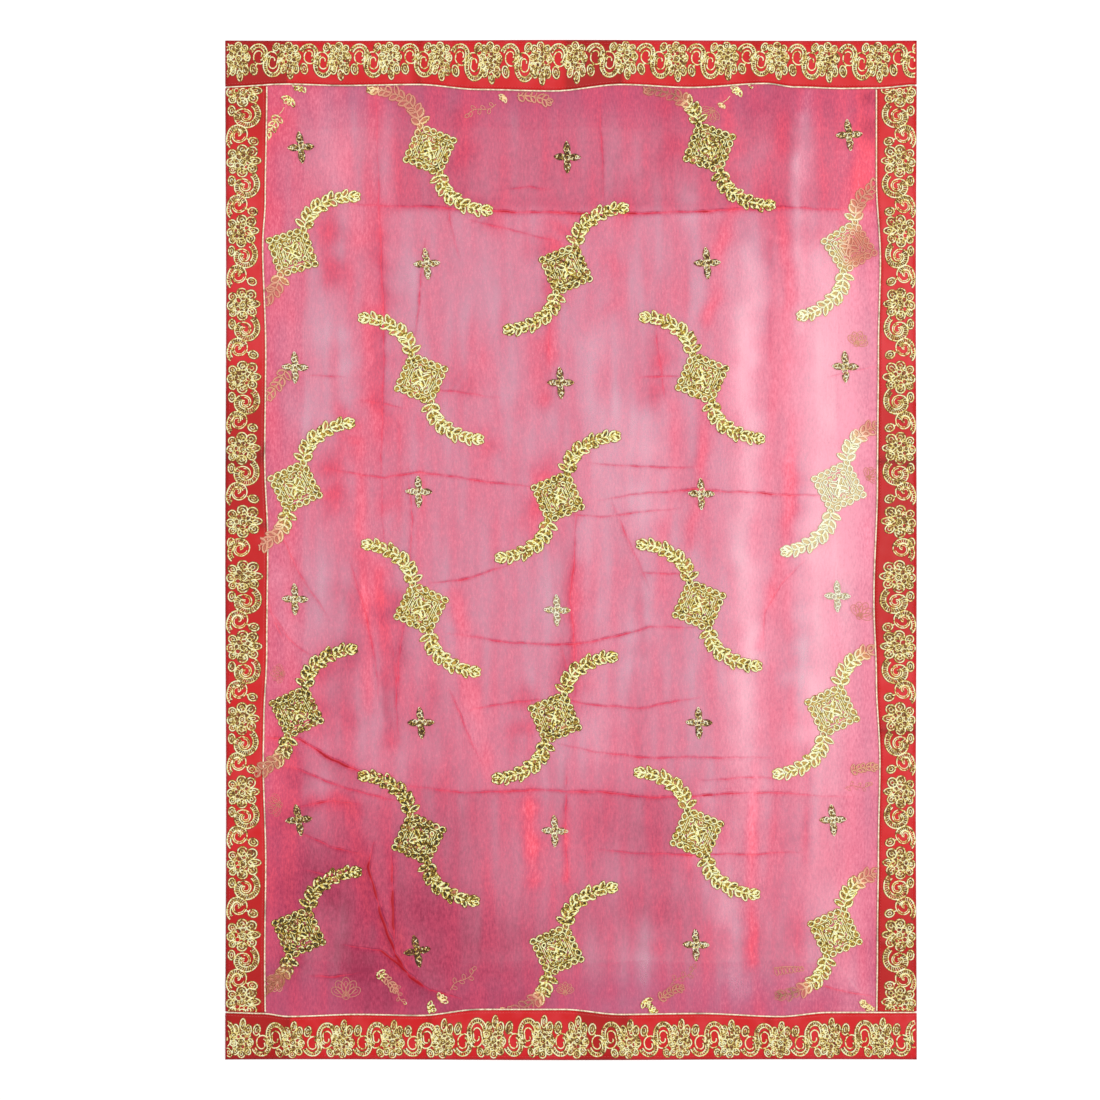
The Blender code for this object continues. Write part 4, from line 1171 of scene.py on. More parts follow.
def oval(x, y, reach, width=None, turn=0.0, count=10):
    """A closed oval: reach is its half-length in the direction of turn."""
    angle = np.arange(count) * 2 * math.pi / count
    points = np.column_stack([reach * np.cos(angle), (width or reach) * np.sin(angle)])
    return turned(points, turn, x, y)


def petal(x, y, length, width, heading, point=0.5, count=14):
    """A closed petal from its root at x, y: narrow at the root and, by point, at the tip."""
    t = np.arange(count) / count
    out = (1 - np.cos(2 * math.pi * t)) / 2
    side = np.sin(2 * math.pi * t) * (0.55 + 0.45 * out) * (1 - point * out**3)
    return turned(np.column_stack([length * out, width * side]), heading, x, y)


def even(line, count):
    """The same line with this many points, evenly spaced."""
    run = np.concatenate([[0.0], np.cumsum(np.hypot(*np.diff(line, axis=0).T))])
    at = np.linspace(0, run[-1], count)
    return np.column_stack([np.interp(at, run, line[:, 0]), np.interp(at, run, line[:, 1])])


def line_length(line):
    return np.hypot(*np.diff(np.asarray(line, float), axis=0).T).sum()


def coil(x, y, rows, inset=0.0, start=None, end=None):
    """A line round x, y whose reach changes with its angle as the rows say, less an inset."""
    angles, reaches = np.array(rows, float).T
    start = angles[0] if start is None else start
    end = angles[-1] if end is None else end
    fine = np.arange(start, end, COIL_TURN)
    reach = np.interp(fine, angles, reaches) - inset
    window = 2 * COIL_SOFTENING + 1
    reach = np.convolve(np.pad(reach, COIL_SOFTENING, "edge"), np.ones(window) / window, "valid")
    angle = np.radians(fine)
    line = np.column_stack([x + reach * np.cos(angle), y + reach * np.sin(angle)])
    return even(line, max(3, round(line_length(line) / CORD_STEP)))


class Pattern:
    """Cord strokes and dark grounds, in millimetres."""

    def __init__(self):
        self.cords = []
        self.grounds = []

    def cord(self, points, radius, closed=False, lift=0.0):
        self.cords.append((np.asarray(points, float), radius, closed, lift))

    def ground(self, outline):
        """A patch inside a closed outline."""
        ring = len(outline)
        points = np.vstack([outline, np.mean(outline, axis=0)])
        self.grounds.append((points, [(k, (k + 1) % ring, ring) for k in range(ring)]))

    def ring(self, points, radius, lift=0.0, filled=True):
        """A closed cord, on a patch that shows as a thin dark rim round it, a painted shadow."""
        self.cord(points, radius, True, lift)
        if filled:
            middle = points.mean(axis=0)
            reach = np.hypot(*(points - middle).T)[:, None]
            self.ground(middle + (points - middle) * (1 + (radius + RIM) / reach))

    def ribbon(self, outer, inner, radius, rung, lift=0.0):
        """Two cords with rungs between them and a patch beneath."""
        self.cord(outer, radius, False, lift)
        self.cord(inner, radius, False, lift)
        count = max(3, round(line_length(outer) / rung))
        first, second = even(outer, count), even(inner, count)
        for a, b in zip(first[1:-1], second[1:-1]):
            self.cord([a, b], radius * RUNG_SHARE, False, lift)
        faces = [(k, k + 1, count + k + 1, count + k) for k in range(count - 1)]
        spread = (first - second) * (radius + RIM) / np.hypot(*(first - second).T)[:, None]
        self.grounds.append((np.vstack([first + spread, second - spread]), faces))


# %% Laying a pattern on the cloth
# How high a cord's centre lies, as a share of its radius, and the grounds' levels in mm.
CORD_SEAT = 0.85
GROUND_RISE = 0.12
GROUND_STEP = 0.02
GROUND_LEVELS = 8


class Laid:
    """Patterns laid on one piece: gathers their points, then makes all cords and grounds at once."""

    def __init__(self, height, inside=None):
        self.height = height
        self.inside = inside
        self.points, self.rise, self.thick, self.edges = [], [], [], []
        self.ground_points, self.ground_rise, self.ground_faces = [], [], []

    def lay(self, pattern, to_world):
        """Adds a pattern, where to_world takes its points to the cloth."""
        for points, radius, closed, lift in pattern.cords:
            first = len(self.rise)
            self.edges += chain(len(points), first) + [(first + len(points) - 1, first)] * closed
            self.points.append(to_world(points))
            self.rise += [(CORD_SEAT * radius + lift) * MM] * len(points)
            self.thick += [radius * MM] * len(points)
        for points, faces in pattern.grounds:
            first = len(self.ground_rise)
            self.ground_faces += [tuple(k + first for k in face) for face in faces]
            self.ground_points.append(to_world(points))
            level = GROUND_RISE + GROUND_STEP * (len(self.ground_points) % GROUND_LEVELS)
            self.ground_rise += [level * MM] * len(points)

    def resting(self, name, points, rise, veil, shine, **corners):
        """A mesh of these points at their height on the cloth, less the parts that don't show."""
        x, y = np.vstack(points).T
        keep = np.ones(len(x), bool) if self.inside is None else self.inside(x, y)
        points = np.column_stack([x, y, self.height(x, y) + rise])
        for kind, rows in corners.items():
            corners[kind] = [row for row in rows if all(keep[k] for k in row)]
        made = mesh_object(name, points, **corners)
        set_attribute(made, "veil", np.zeros(len(points)) if veil is None else veil(points))
        set_attribute(made, "shine", np.full(len(points), shine))
        return made

    def make(self, name, material, ground_material, sides, veil=None, shine=0.0):
        tint = (veil, shine)
        cords = self.resting(name + "_guide", self.points, self.rise, *tint, edges=self.edges)
        set_attribute(cords, "thick", self.thick)
        made = run_tree(name, cords, couched_cord, {"Sides": sides, "Material": material})
        if self.ground_points:
            laid = (self.ground_points, self.ground_rise)
            ground = self.resting(name + "_ground", *laid, *tint, faces=self.ground_faces)
            face_up(ground)
            ground.data.materials.append(ground_material)
            made = joined(made, ground)
        return made


def face_up(made):
    """Turns over each face that looks down, and drops points that no face uses."""
    bm = bmesh.new()
    bm.from_mesh(made.data)
    loose = [vertex for vertex in bm.verts if not vertex.link_faces]
    bmesh.ops.delete(bm, geom=loose, context="VERTS")
    bmesh.ops.reverse_faces(bm, faces=[face for face in bm.faces if face.normal.z < 0])
    bm.to_mesh(made.data)
    bm.free()


def joined(first, second):
    both = {"object": first, "selected_editable_objects": [first, second]}
    with bpy.context.temp_override(active_object=first, **both):
        bpy.ops.object.join()
    return first


# %% [markdown]
# ## Gold thread
#
# Zari is a gold-coloured metal strip wound on a core. Wound closely it looks like a fine spring, so
# the bump rises and falls along the cord. The lace is a paler, duller gold than the lozenges. Where
# a cord passes under a layer of organza it is veiled by pink. The colour also carries painted light:
# patches of painted shade and painted glints, painted glare, and each motif's own painted brightness.

# %% The gold finishes
WINDING = 0.0011
# A painted glare.
GLARE = (1.0, 1.0, 0.80, 1.0)
# Gold in painted shade, for motifs that get less painted light.
DULL_GOLD = (0.90, 0.58, 0.05, 1.0)
VEILED_CORD = (1.0, 0.48, 0.33, 1.0)
# A veiled cord in painted shade.
VEILED_DULL = (0.55, 0.17, 0.09, 1.0)
VEILED_GROUND = (0.70, 0.22, 0.16, 1.0)


def gold_finish(name, bright, deep, pale, glint_contrast, painted_brightness, metallic, roughness):
    """The fifth number is the contrast of painted shade and glints, the sixth the painted light."""
    finish = Finish(name)
    turns = finish.attribute("along") * (2 * math.pi / WINDING)
    winding = turns.math("SINE", turns)
    glint_and_bump_noise = finish.noise(270.0, 1.5) - 0.5
    fleck = finish.noise(700.0, 1.0) - 0.5
    shine = finish.attribute("shine")
    veiled = finish.attribute("veil")
    # Painted light: painted shade in dark patches, then the gold, then painted highlights.
    lit = glint_and_bump_noise * glint_contrast + fleck * (glint_contrast * 0.35) + winding * 0.08 + shine + painted_brightness
    colour = finish.mixed(bright, DULL_GOLD, ((0.3 - shine) * 0.5).clamped())
    colour = finish.mixed(deep, colour, lit.clamped())
    colour = finish.mixed(colour, pale, ((lit - 1.0) * 1.5).clamped())
    colour = finish.mixed(colour, GLARE, ((shine - 0.7) * 0.7 + glint_and_bump_noise * 3.5).clamped())
    under = finish.mixed(VEILED_CORD, VEILED_DULL, (shine * -1.0).clamped())
    finish.set("Base Color", finish.mixed(colour, under, (veiled * 1.5).clamped()))
    finish.set("Alpha", 1 - ((veiled - 0.45) * 1.6).clamped())
    finish.set("Metallic", (1 - veiled) * metallic)
    finish.set("Roughness", fleck * 0.4 + veiled * 0.3 + roughness)
    finish.bump(winding * 0.4 + glint_and_bump_noise * 2.0 + fleck, 0.0006, 0.6)
    return finish.material


lozenge_gold = gold_finish(
    "lozenge_gold", (1.0, 0.80, 0.10, 1.0), (0.13, 0.055, 0.003, 1.0), (1.0, 1.0, 0.56, 1.0),
    12.0, 1.74, 0.25, 0.30,
)
lace_gold = gold_finish(
    "lace_gold", (1.0, 0.82, 0.24, 1.0), (0.19, 0.075, 0.012, 1.0), (1.0, 0.98, 0.60, 1.0),
    8.0, 1.28, 0.10, 0.42,
)


def ground_finish(name, low, high, warm, warmth):
    """A patch of close dark stitches and painted shade, with warmer spots where it is thin."""
    finish = Finish(name, Roughness=0.8)
    shine, veiled = finish.attribute("shine"), finish.attribute("veil")
    # Its brightness follows the motif's painted light, and the brightest get painted glare.
    lit = finish.noise(480.0, 1.0) * 5.0 - 2.1 + shine * 0.6
    colour = finish.mixed(low, high, lit.clamped())
    thin = (finish.noise(110.0, 1.0) - 0.5) * 6.0 + warmth
    colour = finish.mixed(colour, warm, thin.clamped())
    colour = finish.mixed(colour, GLARE, ((shine - 0.8) * 0.25).clamped())
    finish.set("Base Color", finish.mixed(colour, VEILED_GROUND, (veiled * 1.4).clamped()))
    finish.set("Alpha", 1 - ((veiled - 0.40) * 1.7).clamped())
    finish.bump(finish.noise(900.0, 1.0), 0.0004, 0.6)
    return finish.material


lozenge_ground = ground_finish(
    "olive_ground", (0.03, 0.018, 0.002, 1.0), (0.47, 0.28, 0.04, 1.0), (0.50, 0.16, 0.09, 1.0), -0.35
)
lace_ground = ground_finish(
    "brown_ground", (0.08, 0.008, 0.004, 1.0), (0.34, 0.17, 0.04, 1.0), (0.40, 0.02, 0.02, 1.0), -0.1
)
cross_gold = gold_finish(
    "cross_gold", (0.96, 0.72, 0.20, 1.0), (0.12, 0.045, 0.01, 1.0), (1.0, 0.97, 0.70, 1.0),
    10.5, 1.25, 0.25, 0.30,
)
cross_ground = ground_finish(
    "dark_ground", (0.05, 0.020, 0.008, 1.0), (0.30, 0.17, 0.06, 1.0), (0.30, 0.08, 0.07, 1.0), -0.2
)
print("golds:", lozenge_gold.name, lace_gold.name)

# %% [markdown]
# ## The lace
#
# One motif of the lace is a flower of looped petals. A big and a small scroll stand between it and
# the next flower. A scroll is a ribbon of two cords with rungs between them, and it coils inwards.
# Points are in millimetres from where the flower starts. On a side band the first number runs in
# from the cloth's edge and the second down the band. On an end band the first runs to the right
# and the second in from the edge.

# %% Flower of the side bands and its scrolls
LACE_CORD = 0.98
LACE_FILL = 0.66
LACE_RUNG_GAP = 3.4
# A petal larger than this has a loop in it, of this share of its size.
LOOPED_PETAL = 4.4
LOOP_SHARE = 0.42
SIDE_PETALS = (
    # x, y, half-length, half-width, turn
    (38.5, -2.5, 8.5, 4.5, 0), (35.0, -14.5, 7.0, 6.5, -30), (22.5, -17.5, 6.0, 6.5, 90),
    (9.5, -12.0, 5.5, 5.0, 40), (7.0, 0.0, 5.0, 5.5, 0), (9.5, 10.0, 4.5, 4.5, 0),
    (22.5, 13.5, 6.0, 6.5, 90), (36.0, 8.0, 6.0, 5.5, 30),
)
SIDE_BIG = (
    (-60, 22.0), (0, 19.5), (90, 15.5), (180, 14.0), (270, 9.0), (360, 8.0), (450, 6.5), (540, 4.5),
    (640, 2.0),
)
SIDE_SMALL = (
    (115, 22.0), (180, 13.0), (270, 12.5), (360, 12.5), (450, 11.0), (540, 7.0), (630, 6.0), (720, 4.0),
    (800, 2.0),
)


def flower(centre, petals, fills):
    """A flower of looped petals round a centre ring, with small loops between, on a dark patch."""
    pattern = Pattern()
    x, y = centre
    pattern.ground(oval(x, y, 15.5, 14.5, count=18))
    for px, py, half_length, half_width, turn in petals:
        size = max(half_length, half_width)
        outline = oval(px, py, half_length, half_width, turn, max(9, round(size * 2.3)))
        pattern.ring(outline, LACE_CORD, 0.25)
        if size > LOOPED_PETAL:
            inner = oval(px, py, half_length * LOOP_SHARE, half_width * LOOP_SHARE, turn, 7)
            pattern.ring(inner, LACE_FILL, 0.1, False)
    for ring_reach, number, size in fills:
        for k in range(number):
            angle = 2 * math.pi * (k + 0.3 * (ring_reach % 2)) / number
            spot = (x + ring_reach * math.cos(angle), y + ring_reach * math.sin(angle))
            stretch = 1.0 + 0.25 * math.sin(2.4 * k + ring_reach)
            loop = oval(*spot, size * stretch, size, math.degrees(angle), 8)
            pattern.ring(loop, LACE_FILL, 0.0, False)
    pattern.ring(oval(x, y, 4.0, 4.3, 0, 10), LACE_CORD, 0.5, False)
    pattern.ring(oval(x, y, 1.5, 1.5, 0, 6), LACE_FILL, 0.3, False)
    return pattern


def scroll(x, y, rows, ribbon_start, ribbon_end, width=5.6, filled=True):
    """A ribbon that winds in to one cord, or to two where it is filled."""
    pattern = Pattern()
    outer = coil(x, y, rows, 0.0, ribbon_start, ribbon_end)
    inner = coil(x, y, rows, width, ribbon_start, ribbon_end)
    pattern.ribbon(outer, inner, LACE_CORD, LACE_RUNG_GAP, 0.2)
    pattern.cord(coil(x, y, rows, 0.0, ribbon_end - 4), LACE_CORD, lift=0.2)
    if filled:
        pattern.cord(coil(x, y, rows, 2.4, ribbon_end + 30), LACE_FILL, lift=0.1)
    return pattern


def bead(x, y, half_length, half_width, turn, link=None):
    """A padded oval with a smaller loop in it, tied to the scroll by a link."""
    pattern = Pattern()
    pattern.ring(oval(x, y, half_length, half_width, turn, 12), LACE_CORD, 0.2)
    pattern.ring(oval(x, y, half_length * 0.45, half_width * 0.42, turn, 7), LACE_FILL, 0.1, False)
    if link:
        start = np.array([x, y]) + (np.array(link) - (x, y)) * 0.55
        pattern.cord([start, link], LACE_CORD, lift=0.1)
    return pattern


side_flower = flower((23.0, -1.0), SIDE_PETALS, ((8.5, 8, 3.5), (13.5, 11, 2.5)))
side_big = scroll(26.0, 32.0, SIDE_BIG, -58, 232, 6.5)
side_small = scroll(16.5, 57.0, SIDE_SMALL, 120, 350)
side_oval = bead(8.5, 25.0, 6.5, 4.5, 90, (15.0, 30.0))
side_bud = bead(37.0, 66.5, 6.5, 5.0, 20, (28.5, 63.0))

# %% Flower of the end bands and its scrolls
END_PETALS = (
    (-0.5, 8.0, 5.0, 4.5, 90), (-8.5, 12.0, 5.0, 4.0, -120), (8.0, 12.0, 5.0, 4.0, -55),
    (-11.0, 22.5, 4.5, 4.0, 180), (11.5, 24.0, 5.0, 4.0, 90), (-10.5, 32.5, 4.5, 4.0, 90),
    (-7.5, 42.0, 6.0, 3.5, 100), (9.0, 41.0, 7.0, 4.0, 85), (1.5, 48.5, 7.5, 3.5, 85),
)
END_SMALL = (
    (205, 15.0), (270, 17.0), (360, 10.0), (450, 12.0), (540, 7.0), (630, 7.0), (720, 3.0), (750, 3.0),
)
END_BIG = (
    (15, 13.5), (50, 17.5), (90, 22.5), (135, 15.5), (180, 11.5), (235, 14.0), (270, 15.5), (300, 12.0),
    (360, 5.5), (450, 10.0), (540, 3.5), (630, 8.0), (700, 2.5),
)
end_flower = flower((0.0, 25.5), END_PETALS, ((7.5, 7, 3.0), (12.5, 10, 2.5)))
end_small = scroll(28.0, 22.0, END_SMALL, 207, 436, 4.5, False)
end_big = scroll(46.0, 31.5, END_BIG, 18, 256, 5.0, False)
end_oval_low = bead(20.5, 41.0, 7.5, 4.5, 80, (25.0, 33.0))
end_oval_high = bead(51.0, 10.0, 6.0, 4.0, 115, (47.0, 17.0))

# %% Where the flowers are on each band
SIDE_FLOWERS = (
    (718, 621.5, 526.3, 431.1, 331.8, 232.6, 136.0, 36.7),
    (-38.1, -133.3, -231.2, -330.5, -427.0, -525.0, -616.0),
)
FLOWERS = {
    # two runs for each band, which meet at a splice
    "top": (
        (-520, -451.5, -383, -314.5, -246, -177.5, -109.5, -41),
        (6.1, 74.7, 143.2, 211.8, 280.3, 348.9, 417.4),
    ),
    "bottom": (
        (-516, -447.4, -378.1, -310.1, -242.1, -174.1, -104.7, -38.1),
        (8.2, 78.9, 148.2, 216.2, 284.2, 352.2, 421.6),
    ),
    "left": SIDE_FLOWERS,
    "right": SIDE_FLOWERS,
}
LACE_EDGE = 0.0022


def lace_place(side, start):
    """A function from a pattern's points to the cloth, which keeps them within the band's width."""
    width = half_size(side) - straight_line(side)

    def place(points):
        x, y = points.T * MM
        along, inset = (start * MM + x, y) if side in ENDS else (start * MM - y, x)
        edge = outer_edge(side, along)
        out = edge - inset * (edge - piping_line(side, along)) / width
        return np.column_stack(on_side(side, along, out))

    return place


def room(side, x, y):
    """How far inside one side's piping points are."""
    return piping_line(side, x if side in ENDS else y) - outward(side, x, y)


def within_band(side):
    """Whether points lie between the end pipings, or for an end band within the cloth's edges."""
    if side in ENDS:
        return lambda x, y: abs(x) < outer_edge("right", y) - LACE_EDGE
    return lambda x, y: np.minimum(room("top", x, y), room("bottom", x, y)) > LACE_EDGE


def moved(pattern, x, y, turn=0.0):
    """The same pattern moved, and then turned round the origin."""
    result = Pattern()
    result.cords = [(turned(points + (x, y), turn), *rest) for points, *rest in pattern.cords]
    result.grounds = [(turned(points + (x, y), turn), faces) for points, faces in pattern.grounds]
    return result


def make_lace(side):
    laid = Laid(lambda x, y: satin_height(x, y, side), within_band(side))
    if side in ENDS:
        whole = [end_flower, end_small, end_big, end_oval_low, end_oval_high]
        splice = [end_flower, moved(end_small, -3, 0), end_oval_low]
    else:
        whole = [side_flower, side_big, side_small, side_oval, side_bud]
        splice = [side_flower, moved(side_small, 2, -23), moved(side_oval, -1, 2)]
    first_run, second_run = FLOWERS[side]
    for start in first_run + second_run:
        for pattern in splice if start == first_run[-1] else whole:
            laid.lay(pattern, lace_place(side, start))
    return laid.make("lace_" + side, lace_gold, lace_ground, 5)


laces = {side: make_lace(side) for side in FLOWERS}
print("lace:", {side: triangles(lace) for side, lace in laces.items()})

# %% [markdown]
# ## The lozenge and its two leaf sprays
#
# Twenty of these are couched on the open cloth. A rim of round loops closes the lozenge. Inside are
# narrow strips along two sides, nested chevrons along the other two and petals in the middle, with
# some cloth between. A spray of paired leaves grows from the top corner and another from the bottom
# one. Some tips run under the folded edge, which veils them.

# %% Drawing the spray
LOZENGE_CORD = 1.06
LOZENGE_FILL = 0.74
SPRAY_CURVE = ((14, 34), (14, 61), (42, 80), (80, 83))
STEM_LEAD = 0.04
STEM_END = 0.97
TIP_SPOT = 0.96
LEAF_SPOTS = (0.02, 0.13, 0.24, 0.34, 0.44, 0.54, 0.64, 0.74, 0.83, 0.91)


def spray_point(t):
    """Point and heading on the spray's curve, from the lozenge's corner (0) to the tip (1)."""
    start, lift, sweep, tip = (np.array(point, float) for point in SPRAY_CURVE)
    keep = 1 - t
    point = start * keep**3 + lift * 3 * keep**2 * t + sweep * 3 * keep * t**2 + tip * t**3
    heading = (lift - start) * keep**2 + (sweep - lift) * 2 * keep * t + (tip - sweep) * t**2
    return point, math.degrees(math.atan2(heading[1], heading[0]))


def leaf(pattern, x, y, length, width, heading, bend):
    """A leaf: an outline on a dark patch, and a second cord that thickens its outer side."""
    pattern.ring(petal(x, y, length, width, heading, 0.6, 12), LOZENGE_CORD, 0.15)
    inner = petal(x, y, length * 0.95, width * 0.62, heading, 0.2, 12)
    crescent = inner[1:6] if bend > 0 else inner[7:12]
    pattern.cord(crescent, LOZENGE_FILL, lift=0.3)


def draw_spray(first=0):
    """Paired leaves from the lozenge's corner to the tip, or only those from the first one on."""
    pattern = Pattern()
    start = LEAF_SPOTS[first] - STEM_LEAD
    stem = np.array([spray_point(t)[0] for t in np.linspace(start, STEM_END, 30)])
    pattern.cord(stem, LOZENGE_FILL)
    for number, spot in enumerate(LEAF_SPOTS[first:]):
        (x, y), heading = spray_point(spot)
        length = 14.2 - 3.4 * spot
        width = 5.5 - 0.9 * spot
        for side in (-1, 1):
            angle = heading + side * (50 - 10 * spot) + 9 * math.sin(3.1 * number + 2 * side)
            reach = length * (1 + 0.14 * math.sin(2.3 * number + side))
            broad = width * (1 + 0.12 * math.sin(4.1 * number - 2 * side))
            leaf(pattern, x, y, reach, broad, angle, side)
    (x, y), heading = spray_point(TIP_SPOT)
    for turn in (-26, 16):
        leaf(pattern, x, y, 10.0, 5.0, heading + turn, turn)
    return pattern


# %% Drawing the lozenge and the cross
LOZENGE_HALF = 24.4
LOZENGE_TILT = -23.0
RIM_LOOPS = 5


def draw_lozenge():
    """A square of couched loops with its sides level; to be turned by LOZENGE_TILT."""
    pattern = Pattern()
    half = LOZENGE_HALF
    square = np.array([(-1, 1), (1, 1), (1, -1), (-1, -1)])
    for outer, inner in ((half + 1, 14.5), (11.5, 0.5)):
        points = np.vstack([square * outer, square * inner])
        pattern.grounds.append((points, [(k, (k + 1) % 4, 4 + (k + 1) % 4, 4 + k) for k in range(4)]))
    frame = np.vstack([np.linspace(square[k], square[(k + 1) % 4], 11)[:-1] for k in range(4)])
    uneven = 1 + 0.03 * np.sin(2.9 * np.arange(40))[:, None]
    pattern.cord(frame * 18.8 * uneven, LOZENGE_FILL, True, 0.1)
    for k in range(4):
        for n in range(RIM_LOOPS):
            centre = (2 * half * n / RIM_LOOPS - half, half + 0.6 * math.sin(3 * n + k))
            x, y = turned(np.array(centre), 90 * k)
            size = 1 + 0.10 * math.sin(1.9 * n + 2.3 * k)
            outline = oval(x, y, 4.3 * size, 3.6, 90 * k + 25 * math.sin(2.7 * n + k), 10)
            pattern.ring(outline, LOZENGE_CORD, 0.25)
        x, y = turned(np.array([-13.6, 13.6]), 90 * k)
        pattern.ring(oval(x, y, 3.0, 2.4, 90 * k + 45, 9), LOZENGE_CORD, 0.2)
        middle_petal = petal(0, 0, 13.5, 4.2, 90 * k + 45 + 6 * math.sin(k), 0.5, 14)
        pattern.ring(middle_petal, LOZENGE_CORD, 0.35)
    for side in (0, 180):
        for reach, arm in ((13.4, 8.6), (8.8, 6.0)):
            chevron = np.array([(-arm, reach), (-0.45 * arm, reach - 3.6), (0, reach - 5.6)])
            chevron = np.vstack([chevron, chevron[1::-1] * (-1, 1)])
            pattern.cord(turned(chevron, side), LOZENGE_CORD, lift=0.2)
        for across, size in ((-6.2, 2.2), (0.3, 2.9), (6.6, 2.3)):
            loop = oval(across, 15.2 - 0.3 * abs(across), size, size * 0.75, 40 + 9 * across, 8)
            pattern.ring(turned(loop, side), LOZENGE_FILL, 0.15)
        for across, reach in ((15.0, 11.0), (10.6, 8.0)):
            strip = oval(across, 0.0, reach, 1.5, 90, 16)
            pattern.ring(turned(strip, side), LOZENGE_FILL, 0.3)
    pattern.ring(oval(0, 0, 2.6, 2.6, 0, 8), LOZENGE_CORD, 0.6, False)
    return pattern


def draw_cross():
    """Four broad arms, each a few loose loops that a zigzag holds down."""
    pattern = Pattern()
    for k in range(4):
        away = 90.0 * k + 4 * math.sin(2.1 * k)
        out = np.array([math.cos(math.radians(away)), math.sin(math.radians(away))])
        aside = np.array([-out[1], out[0]])
        reach = 15.8 if k % 2 == 0 else 19.4
        pattern.ground(petal(0, 0, reach + 2.2, 7.0, away, 0.45, 14))
        for share, size, off in ((0.30, 3.6, 0.8), (0.55, 3.5, -0.9), (0.80, 2.5, 0.3)):
            spot = out * reach * share + aside * off * (-1) ** k
            loop = oval(*spot, size * 0.75, size, away + 30 * off, 9)
            pattern.ring(loop, LOZENGE_FILL, 0.15, False)
        zigzag = [out * (3.2 + 2.3 * n) + aside * (-1) ** n * (4.2 - 0.5 * n) for n in range(6)]
        pattern.cord(zigzag, LOZENGE_FILL * 0.8, lift=0.5)
        pattern.ring(oval(*(out * reach), 2.0, 1.5, away, 7), LOZENGE_FILL, 0.1, False)
    pattern.ring(oval(0, 0, 2.8, 2.4, 30, 8), LOZENGE_FILL, 0.6, False)
    return pattern


spray, lozenge, cross = draw_spray(), draw_lozenge(), draw_cross()

# %% Where cloth or its folded edge veils the motifs
CROSSES = (
    # name, x, y, turn, painted light (above 0) or painted shade (below 0)
    ("a1", -367, 547, 5, -0.3), ("a2", -375, 248, 0, 0.5), ("a3", -375, -67, 0, 0.4),
    ("a4", -370, -367, 8, -0.6), ("b1", -196, 389, 5, 0.4), ("b2", -207, 79, 0, 0.4),
    ("b3", -204, -235, 3, -0.6), ("b4", -209, -545, 10, -1.1), ("c1", -5, 534, 0, -0.5),
    ("c2", -14, 227, 2, -0.2), ("c3", -19, -82, 0, 1.2), ("c4", -22, -382, 0, 0.4),
    ("d1", 185, 390, 3, -0.1), ("d2", 177, 76, 0, 0.4), ("d3", 174, -235, 0, -0.2),
    ("d4", 170, -537, 0, 0.1), ("e1", 378, 564, 5, -0.2), ("e2", 373, 249, 0, 0.4),
    ("e3", 362, -63, 0, 1.8), ("e4", 356, -367, 4, 0.4),
)
VEILED = (
    # x, y, radius, how much
    (-412, 338, 56, 0.70), (-420, 20, 44, 0.62), (-420, -292, 40, 0.58), (-410, -604, 54, 0.74),
    (-232, 606, 58, 0.74), (-66, -624, 40, 0.95), (126, 622, 46, 0.94), (402, 410, 46, 0.78),
    (408, 480, 44, 0.76), (416, 180, 50, 0.66), (416, -124, 42, 0.62), (417, -436, 44, 0.66),
    (290, -608, 48, 0.96),
)
OVER_BAND = ("a2", "a3")
TIP_REACH = 0.006
SEAM_REACH = 0.0016
OVER_BAND_REACH = -0.012
PIPING_TOP = BAND_LIFT + 2 * PIPING_RADIUS


def veil(world):
    """How much a layer of organza veils each point."""
    amount = np.zeros(len(world))
    for x, y, radius, most in VEILED:
        distance = np.hypot(world[:, 0] - x * MM, world[:, 1] - y * MM)
        amount = np.maximum(amount, most * smooth(1.5 * (1 - distance / (radius * MM))))
    return amount


def clearance(x, y):
    """How far inside all four pipings points are."""
    return np.minimum.reduce([room(side, x, y) for side in WANDER])


def motif_height(x, y):
    """The open cloth, or the piping and band where a tip is sewn over them."""
    near = smooth(1 - clearance(x, y) / TIP_REACH)
    cloth = cloth_height(x, y)
    return cloth + near * np.maximum(0, PIPING_TOP - cloth)


def placed(x, y, turn, lean=1, tilt=0.0, scale=1.0):
    """A function that takes a pattern's points to x, y on the cloth."""
    def place(points):
        local = turned(points * scale, -tilt) * (lean, 1)
        return turned(local, turn, x, y) * MM

    return place


def inside_seam(reach):
    return lambda x, y: clearance(x, y) > reach


motifs = {}
for name, x, y, lean, turn, shine in LOZENGES:
    laid = Laid(motif_height, inside_seam(OVER_BAND_REACH if name in OVER_BAND else SEAM_REACH))
    laid.lay(lozenge, placed(x, y, turn, lean, LOZENGE_TILT))
    laid.lay(spray, placed(x, y, turn, lean))
    laid.lay(spray, placed(x, y, turn + 180, lean))
    look = (lozenge_gold, lozenge_ground, 5, veil, shine)
    motifs["lozenge_" + name] = laid.make("lozenge_cord_" + name, *look)
for name, x, y, turn, shine in CROSSES:
    laid = Laid(motif_height)
    laid.lay(cross, placed(x, y, turn))
    look = (cross_gold, cross_ground, 5, veil, shine)
    motifs["cross_" + name] = laid.make("cross_cord_" + name, *look)
print("motifs:", len(motifs), "with", sum(triangles(motif) for motif in motifs.values()), "triangles")

# %% [markdown]
# ## Embroidery on the turned-under margins
#
# The margins carry parts of the same embroidery. They lie face down under the field, and their
# cords press up through it, so faint vines and fans show, tinted by the cloth.

# %% Sprigs, buds, vines, combs and fans in the margins
GHOST_CORD = 0.62
GHOST_SUNK = 0.30
